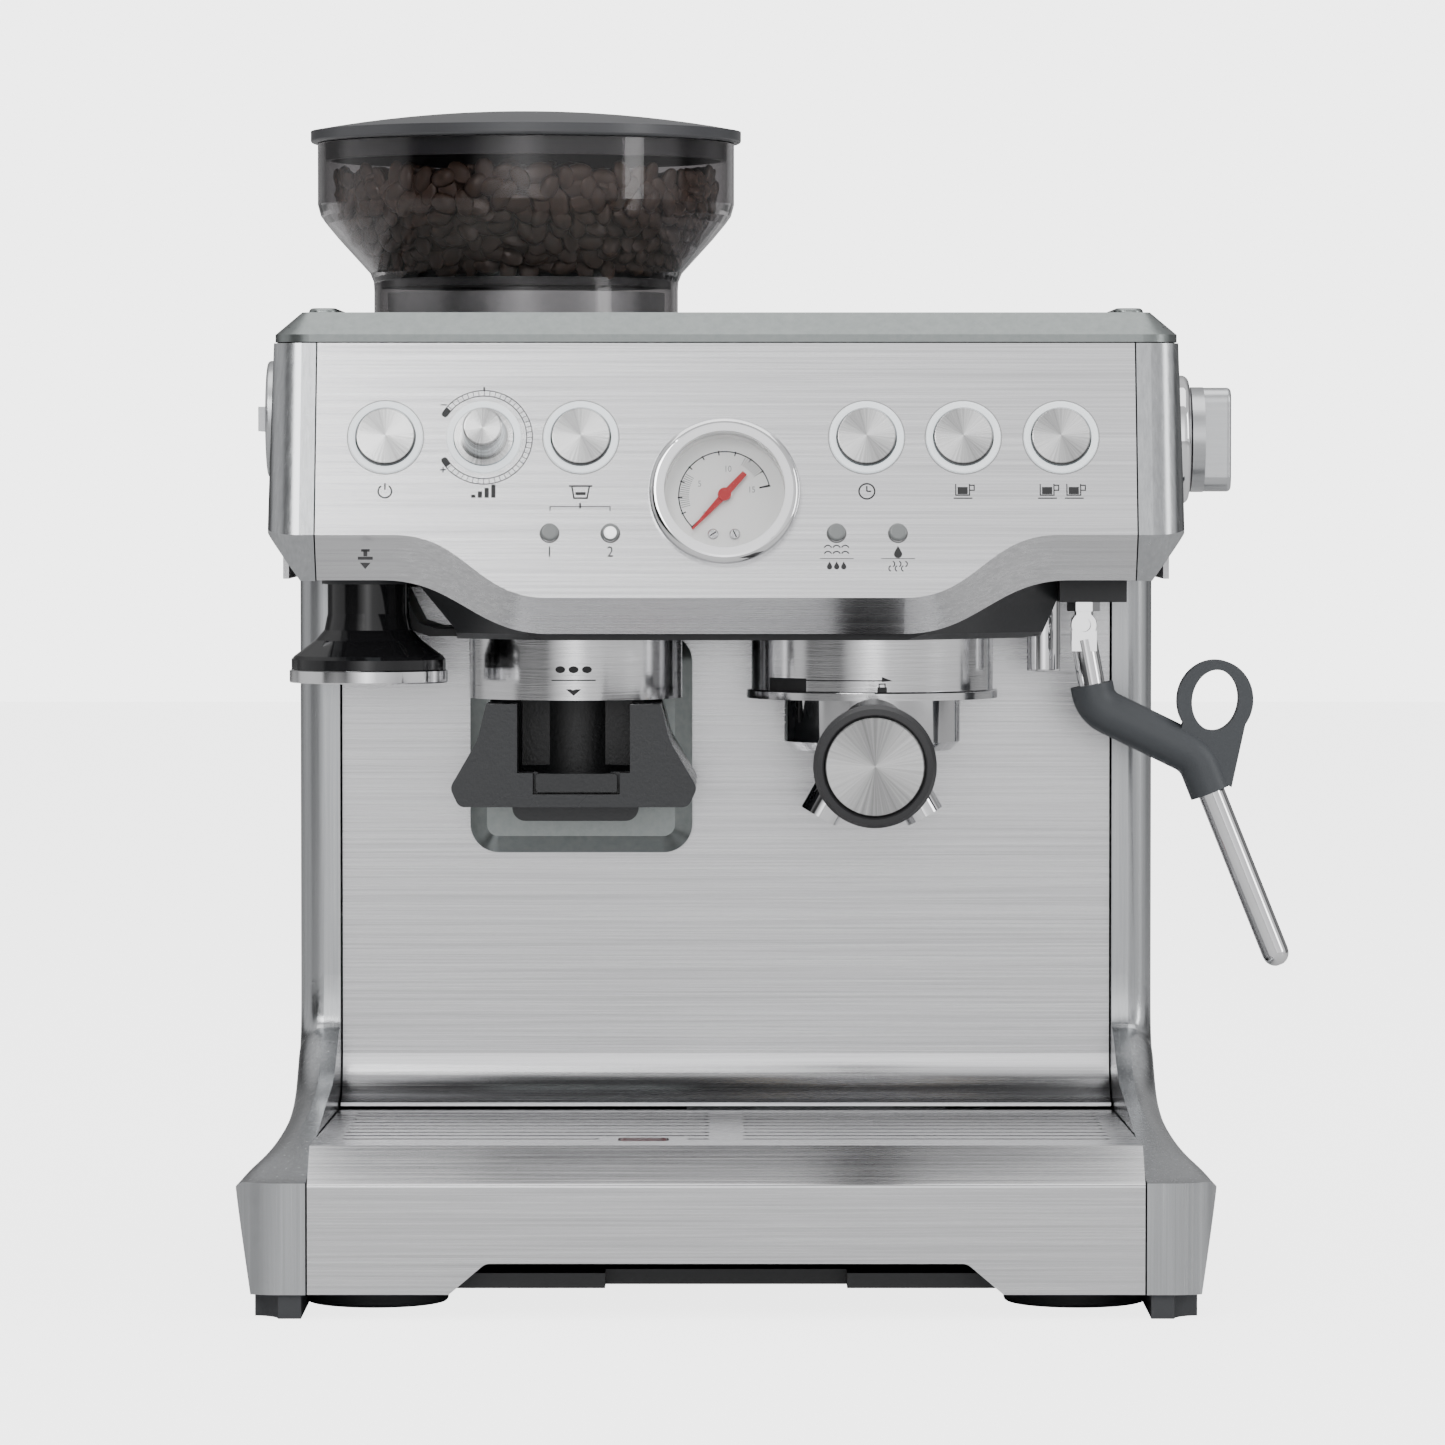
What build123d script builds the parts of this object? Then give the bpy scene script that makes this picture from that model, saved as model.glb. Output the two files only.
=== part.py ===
# Bean-to-cup espresso machine with a built-in grinder, modelled in millimetres.
# Frame: the origin is on the bench under the middle of the body. +X is the user's right,
# -Y is the front of the machine, and +Z is up. Sub-parts are written to parts/NODE.step.
import os
from math import atan2, cos, degrees, radians, sin, tan

from build123d import *

# ---- driving dimensions: body ------------------------------------------------
FOOT_H = 8.0               # rubber feet lift the body off the bench
FRONT_Y = -160.0           # front plane of the drip tray fascia
BACK_Y = 152.0             # rear plane of the body
COLUMN_X = 149.0           # outer side plane of the columns
COLUMN_IN_X = 134.8        # inner side of the column's front strip
WING_X = 161.8             # widest point of the flared base wings
FOOT_WING_X = 156.2        # the wings taper in to this at the feet
TRAY_X = 137.4             # half width of the tray at the front
TRAY_BACK_X = 134.3        # half width of the tray at the back
TRAY_TOP = 55.7            # top of the drip grid
SPLASH_Y = 6.0             # front surface of the steel splash panel
COVE_R = 16.0              # the splash panel curves forward into the tray
SHEET = 1.2                # sheet steel thickness

# ---- driving dimensions: head ------------------------------------------------
HEAD_FLOOR = 241.5         # underside of the head
HEAD_TOP = 320.6           # joint line under the top cover
COVER_TOP = 331.0          # flat top of the machine
COVER_BACK = 100.5         # the tank's lid continues the top behind this line
PANEL_X = 136.0            # half width of the steel control panel
HEAD_X = 152.0             # outer side of the corner castings
HEAD_SIDE_X = 150.0        # outer side of the side panels
LEAN = 16.0                # the control panel leans back by this angle, degrees
PANEL_Y = -136.0           # panel surface at PANEL_REF_Z
PANEL_REF_Z = 240.0
CONTROL_Z = 289.2          # height of the row of controls
CREASE_SIDE_Z = 256.9      # crease of the panel near the sides
CREASE_MID_Z = 236.2       # crease of the panel in the middle
LOWER_SIDE_Z = 245.1       # lower edge of the turned-under band, sides
LOWER_MID_Z = 227.4        # lower edge of the turned-under band, middle
BAND_DEPTH = 11.0          # the band runs this far back
BELLY_Z = 221.7            # underside of the black belly

# ---- driving dimensions: controls --------------------------------------------
BUTTON_X = (-113.0, -48.2, 46.6, 78.7, 111.1)
GRIND_KNOB_X = -80.4
BUTTON_R = 9.8
RING_R = 12.4
BUTTON_TRAVEL = 2.0
LED_X = (-58.4, -38.3, 36.5, 56.8)
LED_Z = 257.8
LED_R = 3.0
GAUGE_X = -0.5
GAUGE_Z = 270.9
GAUGE_R = 25.1
DIAL_R = 19.75
SIDE_KNOB_Y = -40.0
STEAM_KNOB_Z = 288.7
GRIND_DIAL_Z = 295.7

# ---- driving dimensions: brewing and grinding --------------------------------
GROUP_X = 49.8
GROUP_Y = -55.0
GROUP_R = 41.3
GRIND_X = -51.3
GRIND_Y = -55.0
GRIND_R = 36.3
COLLAR_Z = 200.8           # underside of both collars
PORTA_R = 30.15
HANDLE_END = (47.3, -225.0, 183.9)
HOPPER_X = -70.0
HOPPER_Y = 15.0
HOPPER_R = 72.9
BEAN_Z = 378.0
LID_R = 75.3
LID_TOP = 403.4
TAMPER_X = -120.6
TAMPER_Y = -84.0
SPOUT_X = 108.2
SPOUT_Y = -60.0
WAND_X = 121.0
WAND_Y = -75.0
WAND_BALL_Z = 226.0
GEAR_TEETH = 45
PINION_TEETH = 12
GEAR_MODULE = 1.35
GEAR_Z = 251.0
GEAR_H = 6.0
PINION_PHASE = 270.0 + 180.0 / PINION_TEETH + 7.5   # a gap faces a tooth of the gear
SCREW_Z = (90, 185, 280)
TANK_X = 128.0             # half width of the rear water tank
TANK_Y0 = 101.5
TANK_Y1 = 147.5

UP = (Align.CENTER, Align.CENTER, Align.MIN)


# ---- small helpers -----------------------------------------------------------
def block(x0, x1, y0, y1, z0, z1):
    """An axis-aligned box given by its limits."""
    return Pos((x0 + x1) / 2, (y0 + y1) / 2, (z0 + z1) / 2) * Box(x1 - x0, y1 - y0, z1 - z0)


def rod(x, y, z0, z1, r):
    """An upright cylinder."""
    return Pos(x, y, z0) * Cylinder(r, z1 - z0, align=UP)


def tube(x, y, z0, z1, r_out, r_in):
    """An upright tube."""
    return rod(x, y, z0, z1, r_out) - rod(x, y, z0 - 1, z1 + 1, r_in)


def rod_x(x0, x1, y, z, r):
    """A cylinder along X."""
    return Pos(x0, y, z) * Rot(0, 90, 0) * Cylinder(r, x1 - x0, align=UP)


def rod_y(y0, y1, x, z, r):
    """A cylinder along Y."""
    return Pos(x, y0, z) * Rot(-90, 0, 0) * Cylinder(r, y1 - y0, align=UP)


def outline(points):
    """A closed face through a list of corner points."""
    return make_face(Polyline(*points, close=True))


def prism_x(face, x0, x1):
    """Extrude a (Y, Z) face along X."""
    return Pos(x0, 0, 0) * extrude(Plane.YZ * face, amount=x1 - x0)


def prism_y(face, y0, y1):
    """Extrude an (X, Z) face along Y."""
    return Pos(0, y1, 0) * extrude(Plane.XZ * face, amount=y1 - y0)


def prism_z(face, z0, z1):
    """Extrude an (X, Y) face along Z."""
    return Pos(0, 0, z0) * extrude(face, amount=z1 - z0)


def lathe(points, x=0.0, y=0.0):
    """Revolve a closed (radius, z) outline about the upright line through (x, y)."""
    return Pos(x, y, 0) * revolve(Plane.XZ * outline(points), axis=Axis.Z)


def rounded(x0, x1, y0, y1, z0, z1, r):
    """A box with rounded upright edges."""
    plan = Pos((x0 + x1) / 2, (y0 + y1) / 2) * RectangleRounded(x1 - x0, y1 - y0, r)
    return prism_z(plan, z0, z1)


def face_y(z):
    """Y of the leaning control panel surface at a height."""
    return PANEL_Y + (z - PANEL_REF_Z) * tan(radians(LEAN))


PANEL = Plane(
    origin=(0, face_y(CONTROL_Z), CONTROL_Z),
    x_dir=(1, 0, 0),
    z_dir=(0, -cos(radians(LEAN)), sin(radians(LEAN))),
)


def slope_v(z):
    """Distance up the leaning panel, measured from the row of controls."""
    return (z - CONTROL_Z) / cos(radians(LEAN))


def on_panel(shape, x, z=CONTROL_Z):
    """Place a shape on the panel: its local +Z points straight out of the panel."""
    return PANEL * Pos(x, slope_v(z), 0) * shape


def mirrored(shape):
    """The same piece on the other side of the machine."""
    return mirror(shape, about=Plane.YZ)


# ---- base --------------------------------------------------------------------
def chassis():
    """Black moulded floor and rear wall that carry the castings and the works."""
    floor = block(-133.5, 133.5, -140, 148, FOOT_H, 13)
    floor += block(-147.5, 147.5, 32, 148, FOOT_H, 13)
    floor += block(-144.5, 144.5, 96, 98.5, 13, HEAD_TOP - 0.5)
    floor += block(-133, 133, 0, 3, 13, 50)
    floor -= block(-40, 40, -141, -128, 7, 14)
    for side in (-1, 1):
        floor -= rod(side * 117, -105, 7, 11, 6)
        floor -= rod(side * 117, 125, 7, 11, 6)
        for z in SCREW_Z:
            floor -= rod_y(90, 100, side * 138, z, 1.6)
    floor -= rod_y(90, 100, 134, 36, 5.6)
    return floor


def round_feet():
    """Four round rubber feet with stems pressed into the floor."""
    pads = []
    for side in (-1, 1):
        for y, r in ((-105, 24), (125, 16)):
            pad = fillet(rod(side * 117, y, 0, FOOT_H, r).edges().group_by(Axis.Z)[0], 1.5)
            pads.append(pad + rod(side * 117, y, FOOT_H, 11, 5.9))
    return pads


def corner_boots():
    """Rubber boots under the two flared front corners."""
    plan = make_face(
        Line((139.5, -96), (139.5, -158.5))
        + Line((139.5, -158.5), (147, -158.5))
        + RadiusArc((147, -158.5), (155.2, -149), 10)
        + Line((155.2, -149), (150.5, -96))
        + Line((150.5, -96), (139.5, -96))
    )
    boot = prism_z(plan, 0, 8)
    return [boot, mirrored(boot)]


def wing_and_column():
    """Right-hand die casting: flared front wing, column strip and side wall."""
    top = Spline(
        (FRONT_Y, 44.7), (-152, 45.9), (-140, 49.3), (-125, 52.8), (-100, 57.1),
        (-60, 63.6), (-24, 72.0), (-7, 82.0), (0, 102),
        tangents=[(1.0, 0.05), (0, 1)],
    )
    side = make_face(
        top
        + Line((0, 102), (0, HEAD_FLOOR - 0.3))
        + Line((0, HEAD_FLOOR - 0.3), (30, HEAD_FLOOR - 0.3))
        + Line((30, HEAD_FLOOR - 0.3), (30, FOOT_H))
        + Line((30, FOOT_H), (FRONT_Y, FOOT_H))
        + Line((FRONT_Y, FOOT_H), (FRONT_Y, 44.7))
    )
    plan = make_face(
        Line((COLUMN_IN_X, 30), (COLUMN_IN_X, 0))
        + Line((COLUMN_IN_X, 0), (TRAY_X + 0.6, FRONT_Y))
        + Line((TRAY_X + 0.6, FRONT_Y), (146, FRONT_Y))
        + Spline((146, FRONT_Y), (157.6, -156.6), (WING_X, -147), tangents=[(1, 0), (0.05, 1)])
        + Spline(
            (WING_X, -147), (155.6, -122), (152.0, -100), (COLUMN_X, -62),
            tangents=[(-0.2, 1), (0, 1)],
        )
        + Line((COLUMN_X, -62), (COLUMN_X, 30))
        + Line((COLUMN_X, 30), (COLUMN_IN_X, 30))
    )
    taper = outline([
        (130, FOOT_H), (FOOT_WING_X, FOOT_H), (WING_X, 45), (WING_X, 250), (130, 250),
    ])
    body = prism_x(side, 130, 165) & prism_z(plan, 0, 260) & prism_y(taper, -170, 40)
    body = body.solids()[0]
    corner = body.edges().filter_by(Axis.Z).sort_by(Axis.Y)
    outer = [e for e in corner if abs(e.center().X - COLUMN_X) < 0.1 and e.center().Y < 5]
    if outer:
        body = fillet(outer, 8.5)
    body -= block(142, 150.5, -146, -12, 7, 38)
    body += block(COLUMN_X - 4, COLUMN_X, 29.9, BACK_Y, FOOT_H + 1, HEAD_FLOOR - 0.3)
    body += block(COLUMN_X - 16, COLUMN_X, BACK_Y - 4, BACK_Y, FOOT_H + 1, HEAD_FLOOR - 0.3)
    body -= block(130, 147.6, 31, 149, 8, 13.5)
    return body


def splash_panel():
    """Brushed steel back splash with a cove at its foot and the grinder opening."""
    top = HEAD_FLOOR - 4
    foot = 58.0
    outer = (
        Line((SPLASH_Y, top), (SPLASH_Y, foot + COVE_R))
        + RadiusArc((SPLASH_Y, foot + COVE_R), (SPLASH_Y - COVE_R, foot), COVE_R)
        + Line((SPLASH_Y - COVE_R, foot), (SPLASH_Y - COVE_R, foot - SHEET))
        + RadiusArc(
            (SPLASH_Y - COVE_R, foot - SHEET), (SPLASH_Y + SHEET, foot + COVE_R), -COVE_R - SHEET
        )
        + Line((SPLASH_Y + SHEET, foot + COVE_R), (SPLASH_Y + SHEET, top))
        + Line((SPLASH_Y + SHEET, top), (SPLASH_Y, top))
    )
    return prism_x(make_face(outer), -134.2, 134.2)


# ---- drip tray ---------------------------------------------------------------
def tray_front():
    """Pressed steel fascia with a sloping top lip and a finger cut-out below."""
    profile = outline([
        (FRONT_Y, 8.1), (FRONT_Y, 44.1), (-144.3, TRAY_TOP), (-143.6, TRAY_TOP),
        (-143.6, 54.3), (-144.4, 54.3), (FRONT_Y + 1.4, 43.5), (FRONT_Y + 1.4, 8.1),
    ])
    shell = prism_x(profile, -TRAY_X, TRAY_X)
    bend = [e for e in shell.edges().filter_by(Axis.X) if abs(e.center().Y - FRONT_Y) < 0.1]
    bend = [e for e in bend if e.center().Z > 40]
    shell = fillet(bend, 1.5)
    cut = outline([(-91, 7), (-91, 8.1), (-79, 18.3), (79, 18.3), (91, 8.1), (91, 7)])
    cut = fillet(cut.vertices().sort_by(Axis.Y)[-2:], 4)
    return shell - prism_y(cut, FRONT_Y - 1, FRONT_Y + 3)


def tray_bin():
    """Black bin that catches the drips, open at the top."""
    y0, y1 = FRONT_Y + 1.6, -12.0
    lip = outline([(y0, 20), (y1, 20), (y1, 54), (-144.6, 54), (y0, 43.4)])
    body = prism_x(lip, -130, 130)
    body -= block(-127.5, 127.5, -150, y1 - 2.5, 22.5, 60)
    body -= block(-127.5, 127.5, -155, -149, 22.5, 36)
    body += block(-1.2, 1.2, -120, -40, 22.5, 40)
    body += tube(-27.5, -122, 22.5, 40, 7.5, 5.5)
    return body


def drip_grid():
    """Steel grid in two fields of long cross slots, with a notch for the float."""
    plate = prism_z(
        outline([
            (-TRAY_X, -143.2), (TRAY_X, -143.2), (TRAY_BACK_X, -11), (-TRAY_BACK_X, -11),
        ]),
        54.2, TRAY_TOP,
    )
    for row in range(9):
        y = -121 + row * 12
        for x0, x1 in ((-128, -5.5), (5.5, 128)):
            if row == 0 and x0 < 0:
                plate -= rounded(x0, -42, y - 2, y + 2, 53, 57, 1.9)
                plate -= rounded(-13, x1, y - 2, y + 2, 53, 57, 1.9)
            else:
                plate -= rounded(x0, x1, y - 2, y + 2, 53, 57, 1.9)
    plate -= rounded(-36, -19, -129, -116, 53, 57, 3)
    return plate


def tray_float():
    """Float that rises through the grid when the bin is full."""
    stem = rod(-27.5, -122, 23.5, 43, 5.0)
    flag = rounded(-34.5, -20.5, -127.5, -117.5, 43, 53.2, 2.5)
    return stem + flag


# ---- head --------------------------------------------------------------------
def lower_edge(s, m, x_side, x_mid):
    """Edge that is low in the middle and sweeps up in an S to both sides, left to right."""
    return (
        Spline((-x_side, s), (-(x_side + x_mid) / 2, (s + m) / 2), (-x_mid, m),
               tangents=[(1, 0), (1, 0)])
        + Line((-x_mid, m), (x_mid, m))
        + Spline((x_mid, m), ((x_side + x_mid) / 2, (s + m) / 2), (x_side, s),
                 tangents=[(1, 0), (1, 0)])
    )


def panel_outline(top, side, mid, x_side, x_mid, half):
    """Outline of the control panel in its own plane."""
    return make_face(
        lower_edge(side, mid, x_side, x_mid)
        + Line((x_side, side), (half, side))
        + Line((half, side), (half, top))
        + Line((half, top), (-half, top))
        + Line((-half, top), (-half, side))
        + Line((-half, side), (-x_side, side))
    )


def panel_shell(inset):
    """Solid block of the panel: leaning face, crease and turned-under band."""
    half = PANEL_X - inset
    top = slope_v(HEAD_TOP) - inset
    back = BAND_DEPTH * cos(radians(LEAN)) + 13.5 * sin(radians(LEAN))
    drop = slope_v(LOWER_SIDE_Z) + BAND_DEPTH * sin(radians(LEAN)) * 0.2
    side_v = slope_v(CREASE_SIDE_Z) + inset
    mid_v = slope_v(CREASE_MID_Z) + inset
    back_side = drop + inset
    back_mid = slope_v(LOWER_MID_Z) + BAND_DEPTH * sin(radians(LEAN)) * 0.2 + inset
    front = panel_outline(top, side_v, mid_v, 110 + inset, 59 - inset, half)
    rear = panel_outline(top, back_side, back_mid, 114 + inset, 59 - inset, half)
    front_at = PANEL * Pos(0, 0, -inset)
    rear_at = PANEL * Pos(0, 0, -back)
    return loft([front_at * front, rear_at * rear], ruled=True)


def front_panel():
    """Brushed steel control panel with all its openings."""
    shell = panel_shell(0) - panel_shell(1.5)
    for x in (*BUTTON_X, GRIND_KNOB_X):
        shell -= on_panel(Pos(0, 0, -5) * Cylinder(RING_R + 0.05, 8, align=UP), x)
    for x in LED_X:
        shell -= on_panel(Pos(0, 0, -5) * Cylinder(LED_R + 0.05, 8, align=UP), x, LED_Z)
    shell -= on_panel(Pos(0, 0, -5) * Cylinder(22.0, 8, align=UP), GAUGE_X, GAUGE_Z)
    return shell


def head_corner():
    """Right-hand corner casting beside the panel."""
    inner = PANEL_X + 0.5
    side = outline([
        (face_y(HEAD_TOP), HEAD_TOP), (face_y(CREASE_SIDE_Z), CREASE_SIDE_Z),
        (face_y(CREASE_SIDE_Z) + BAND_DEPTH, HEAD_FLOOR), (-75, HEAD_FLOOR), (-75, HEAD_TOP),
    ])
    body = prism_x(side, inner, HEAD_X + 0.3)
    front_edges = [
        e for e in body.edges()
        if abs(e.center().X - (HEAD_X + 0.3)) < 0.1 and abs(e.center().Y - face_y(HEAD_TOP)) < 16
        and HEAD_FLOOR + 5 < e.center().Z < HEAD_TOP - 5
    ]
    body = fillet(front_edges, 11)
    front = outline([
        (inner, HEAD_FLOOR), (141.5, HEAD_FLOOR), (HEAD_X + 0.3, 257.5),
        (150.9, HEAD_TOP), (inner, HEAD_TOP),
    ])
    body = body & prism_y(front, -150, -70)
    body = body.solids()[0]
    body -= block(inner - 1, 147, -104, -74, HEAD_FLOOR + 3, HEAD_TOP - 3)
    return body


def head_side():
    """Right-hand side panel of the head."""
    wall = block(HEAD_SIDE_X - 2, HEAD_SIDE_X, -74.6, BACK_Y, HEAD_FLOOR, HEAD_TOP)
    wall += block(HEAD_SIDE_X - 16, HEAD_SIDE_X, BACK_Y - 2, BACK_Y, HEAD_FLOOR, HEAD_TOP)
    wall -= rod_x(140, 155, SIDE_KNOB_Y, STEAM_KNOB_Z, 7)
    return wall


def head_side_left():
    """Left-hand side panel, bored for the grind size dial."""
    wall = block(-HEAD_SIDE_X, -HEAD_SIDE_X + 2, -74.6, BACK_Y, HEAD_FLOOR, HEAD_TOP)
    wall += block(-HEAD_SIDE_X, -HEAD_SIDE_X + 16, BACK_Y - 2, BACK_Y, HEAD_FLOOR, HEAD_TOP)
    wall -= rod_x(-155, -140, SIDE_KNOB_Y, GRIND_DIAL_Z, 7)
    return wall


def belly_face(z_low, x_low, x_high, z_high):
    """Section of the black belly at one Y."""
    return outline([
        (-x_high, z_high), (-(x_high + x_low) / 2 - 6, z_high - 3),
        (-x_low - 6, z_low + 2.0), (-x_low, z_low), (x_low, z_low),
        (x_low + 6, z_low + 2.0), ((x_high + x_low) / 2 + 6, z_high - 3), (x_high, z_high),
    ])


def belly_block(inset):
    """The belly widens from front to back."""
    front = Plane.XZ.offset(116 - inset) * belly_face(BELLY_Z + inset, 60 - inset, 112 - inset, 246)
    middle = Plane.XZ.offset(80) * belly_face(BELLY_Z + inset, 101 - inset, 118 - inset, 246)
    rear = Plane.XZ.offset(-4) * belly_face(BELLY_Z + inset, 101 - inset, 118 - inset, 246)
    return loft([front, middle], ruled=True) + loft([middle, rear], ruled=True)


def head_floor():
    """Black moulded underside of the head: a flat floor with a hanging belly."""
    plate = block(-134.5, 134.5, -106, 4, 242.6, 245.1)
    plate += block(-141.5, 141.5, -74, 4, 242.6, 245.1)
    body = plate + (belly_block(0) - block(-150, 150, -150, 10, 245.1, 260))
    body -= belly_block(2.5)
    body += tube(TAMPER_X, TAMPER_Y, 240, 256, 15.7, 14.3) + rod(TAMPER_X, TAMPER_Y, 254, 256, 15.7)
    body -= rod(TAMPER_X, TAMPER_Y, 239, 254, 14.3)
    body += block(112, 134.5, -96, -50, 234, 243)
    body -= rod(GROUP_X, GROUP_Y, 200, 250, GROUP_R + 0.2)
    body -= rod(GRIND_X, GRIND_Y, 200, 250, GRIND_R + 0.2)
    body -= rod(SPOUT_X, SPOUT_Y, 200, 250, 5.8)
    body -= rod(WAND_X, WAND_Y, 200, 250, 5.2)
    body -= block(TAMPER_X - 30, TAMPER_X + 30, -95, -60, 200, 240)
    return body.solids().sort_by(SortBy.VOLUME)[-1]


def top_cover():
    """Satin silver top with a chamfered rim, side rails and recess for the cup plate."""
    y0 = face_y(HEAD_TOP) + 0.5
    body = block(-150.8, 150.8, y0, COVER_BACK, HEAD_TOP + 0.4, COVER_TOP)
    upright = body.edges().filter_by(Axis.Z).group_by(Axis.Y)[0]
    body = fillet(upright, 12)
    rim = body.edges().group_by(Axis.Z)[-1]
    rim = [e for e in rim if e.center().Y < COVER_BACK - 1]
    body = chamfer(rim, 7.5, 9.0)
    body = body.solids()[0]
    for side in (-1, 1):
        rail = rounded(side * 135 - 5, side * 135 + 5, -96, 98, COVER_TOP - 1, COVER_TOP + 1.6, 4)
        rail = fillet(rail.edges().group_by(Axis.Z)[-1], 1.4)
        body += rail
    body -= block(-146, 146, y0 + 6, COVER_BACK - 2.5, HEAD_TOP - 1, COVER_TOP - 5)
    body -= rod(HOPPER_X, HOPPER_Y, 300, 340, 54.2)
    body += tube(HOPPER_X, HOPPER_Y, COVER_TOP - 5, COVER_TOP, 56, 54.2)
    body -= rounded(4, 124, -88, 92, COVER_TOP - 3, COVER_TOP + 5, 8)
    body -= rounded(10, 118, -82, 86, COVER_TOP - 8, COVER_TOP + 5, 4)
    return body


def cup_plate():
    """Brushed cup warming plate, lying in the recess, with pressed ribs."""
    plate = rounded(4.4, 123.6, -87.6, 91.6, COVER_TOP - 2.9, COVER_TOP - 1.4, 7.6)
    for row in range(8):
        y = -70 + row * 20
        plate += rounded(14, 114, y - 2, y + 2, COVER_TOP - 1.4, COVER_TOP - 0.6, 1.9)
    return plate


# ---- controls ----------------------------------------------------------------
def disc(z0, z1, r):
    """A short cylinder in panel coordinates."""
    return Pos(0, 0, z0) * Cylinder(r, z1 - z0, align=UP)


def push_button(x):
    """Round steel button cap with its plunger."""
    cap = disc(-4.5, 1.6, BUTTON_R)
    cap = fillet(cap.edges().group_by(Axis.Z)[-1], 0.5)
    return on_panel(cap + disc(-9.5, -4.5, 2.5), x)


def light_rings():
    """Translucent rings round the five buttons and the knob."""
    ring = disc(-4, 0.7, RING_R) - disc(-5, 2, 10.15)
    ring = fillet(ring.edges().group_by(Axis.Z)[-1].sort_by(SortBy.LENGTH)[-1], 0.5)
    return Compound([on_panel(ring, x) for x in (*BUTTON_X, GRIND_KNOB_X)])


def grind_knob():
    """Grind amount knob: skirt disc, tapered body and pointer."""
    skirt = disc(-3, 1.2, BUTTON_R)
    body = Pos(0, 0, 1.2) * Cone(8.0, 6.5, 12.1, align=UP)
    body = fillet(body.edges().group_by(Axis.Z)[-1], 0.8)
    return on_panel(skirt + body + disc(-12, -3, 3.0), GRIND_KNOB_X)


def led_lenses():
    """Four small domed indicator lenses."""
    lens = fillet(disc(-4, 1.2, LED_R).edges().group_by(Axis.Z)[-1], 0.9)
    return Compound([on_panel(lens, x, LED_Z) for x in LED_X])


def control_board():
    """Circuit board behind the panel, cut round the gauge."""
    board = Pos(0, -1, -18.4) * Box(250, 52, 1.6, align=UP)
    board -= Pos(GAUGE_X, slope_v(GAUGE_Z), -30) * Cylinder(24.0, 30, align=UP)
    return PANEL * board


def push_switches():
    """Tactile switches and the knob's encoder on the board."""
    parts = [on_panel(Pos(0, 0, -16.8) * Box(7, 7, 4.6, align=UP), x) for x in BUTTON_X]
    encoder = Pos(0, 0, -16.8) * Box(13, 13, 4.6, align=UP)
    parts.append(on_panel(encoder, GRIND_KNOB_X))
    return parts


def gauge_bezel():
    """Polished bezel of the pressure gauge."""
    band = disc(-3.0, 4.6, GAUGE_R)
    band = fillet(band.edges().group_by(Axis.Z)[-1], 2.4)
    band -= disc(0.0, 10, DIAL_R + 0.3)
    band -= disc(-6, 1, 21.0)
    band -= disc(-6, 0.0, 30) - disc(-6, 0.0, 21.9)
    return on_panel(band, GAUGE_X, GAUGE_Z)


def gauge_dial():
    """White dial moulded as the cup of the gauge movement."""
    cup = disc(-22, -3.9, 20.9) + disc(-3.9, -0.1, 20.9) - disc(-3.9, 0, 19.9)
    cup -= disc(-16, -3.8, 1.5)
    return on_panel(cup, GAUGE_X, GAUGE_Z)


def gauge_needle():
    """Red pointer with a short tail, at rest to the lower left."""
    blade = outline([(-10, -0.9), (-10, 0.9), (0, 1.2), (16, 0.3), (16, -0.3), (0, -1.2)])
    needle = Pos(0, 0, -2.9) * extrude(blade, amount=0.7)
    needle = Rot(0, 0, 228) * needle + disc(-2.9, -1.6, 2.2) + disc(-12, -2.9, 1.1)
    return on_panel(needle, GAUGE_X, GAUGE_Z)


def gauge_lens():
    """Clear cover of the gauge."""
    return on_panel(disc(1.1, 2.3, 20.0), GAUGE_X, GAUGE_Z)


def steam_bezel():
    """Chrome ring on the right side panel behind the steam knob."""
    ring = rod_x(HEAD_SIDE_X, 158.5, SIDE_KNOB_Y, STEAM_KNOB_Z, 22)
    ring = fillet(ring.edges().group_by(Axis.X)[-1], 2.5)
    return ring - rod_x(149, 160, SIDE_KNOB_Y, STEAM_KNOB_Z, 7)


def steam_knob():
    """Steam and hot water dial: a disc with a thick grip bar."""
    body = rod_x(159.2, 163.5, SIDE_KNOB_Y, STEAM_KNOB_Z, 18)
    grip = block(163.5, 172.9, -8, 8, -17.8, 17.8)
    grip = fillet(grip.edges().filter_by(Axis.X), 5)
    grip = fillet(grip.edges().group_by(Axis.X)[-1], 1.5)
    body += Pos(0, SIDE_KNOB_Y, STEAM_KNOB_Z) * grip
    return body + rod_x(138.5, 159.2, SIDE_KNOB_Y, STEAM_KNOB_Z, 4)


def steam_valve():
    """Brass needle valve behind the steam knob."""
    body = rod_x(112, 147.5, SIDE_KNOB_Y, STEAM_KNOB_Z, 9)
    body += rod(116, SIDE_KNOB_Y, STEAM_KNOB_Z - 22, STEAM_KNOB_Z, 6)
    return body - rod_x(138, 149, SIDE_KNOB_Y, STEAM_KNOB_Z, 4.3)


def grind_size_dial():
    """Side dial that sets the burr gap."""
    body = rod_x(-157, -150.4, SIDE_KNOB_Y, GRIND_DIAL_Z, 20)
    body = fillet(body.edges().group_by(Axis.X)[0], 1.2)
    grip = Pos(-158.2, SIDE_KNOB_Y, GRIND_DIAL_Z) * Box(2.6, 32, 8.4)
    return body + grip + rod_x(-150.4, -126, SIDE_KNOB_Y, GRIND_DIAL_Z, 4)


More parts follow.
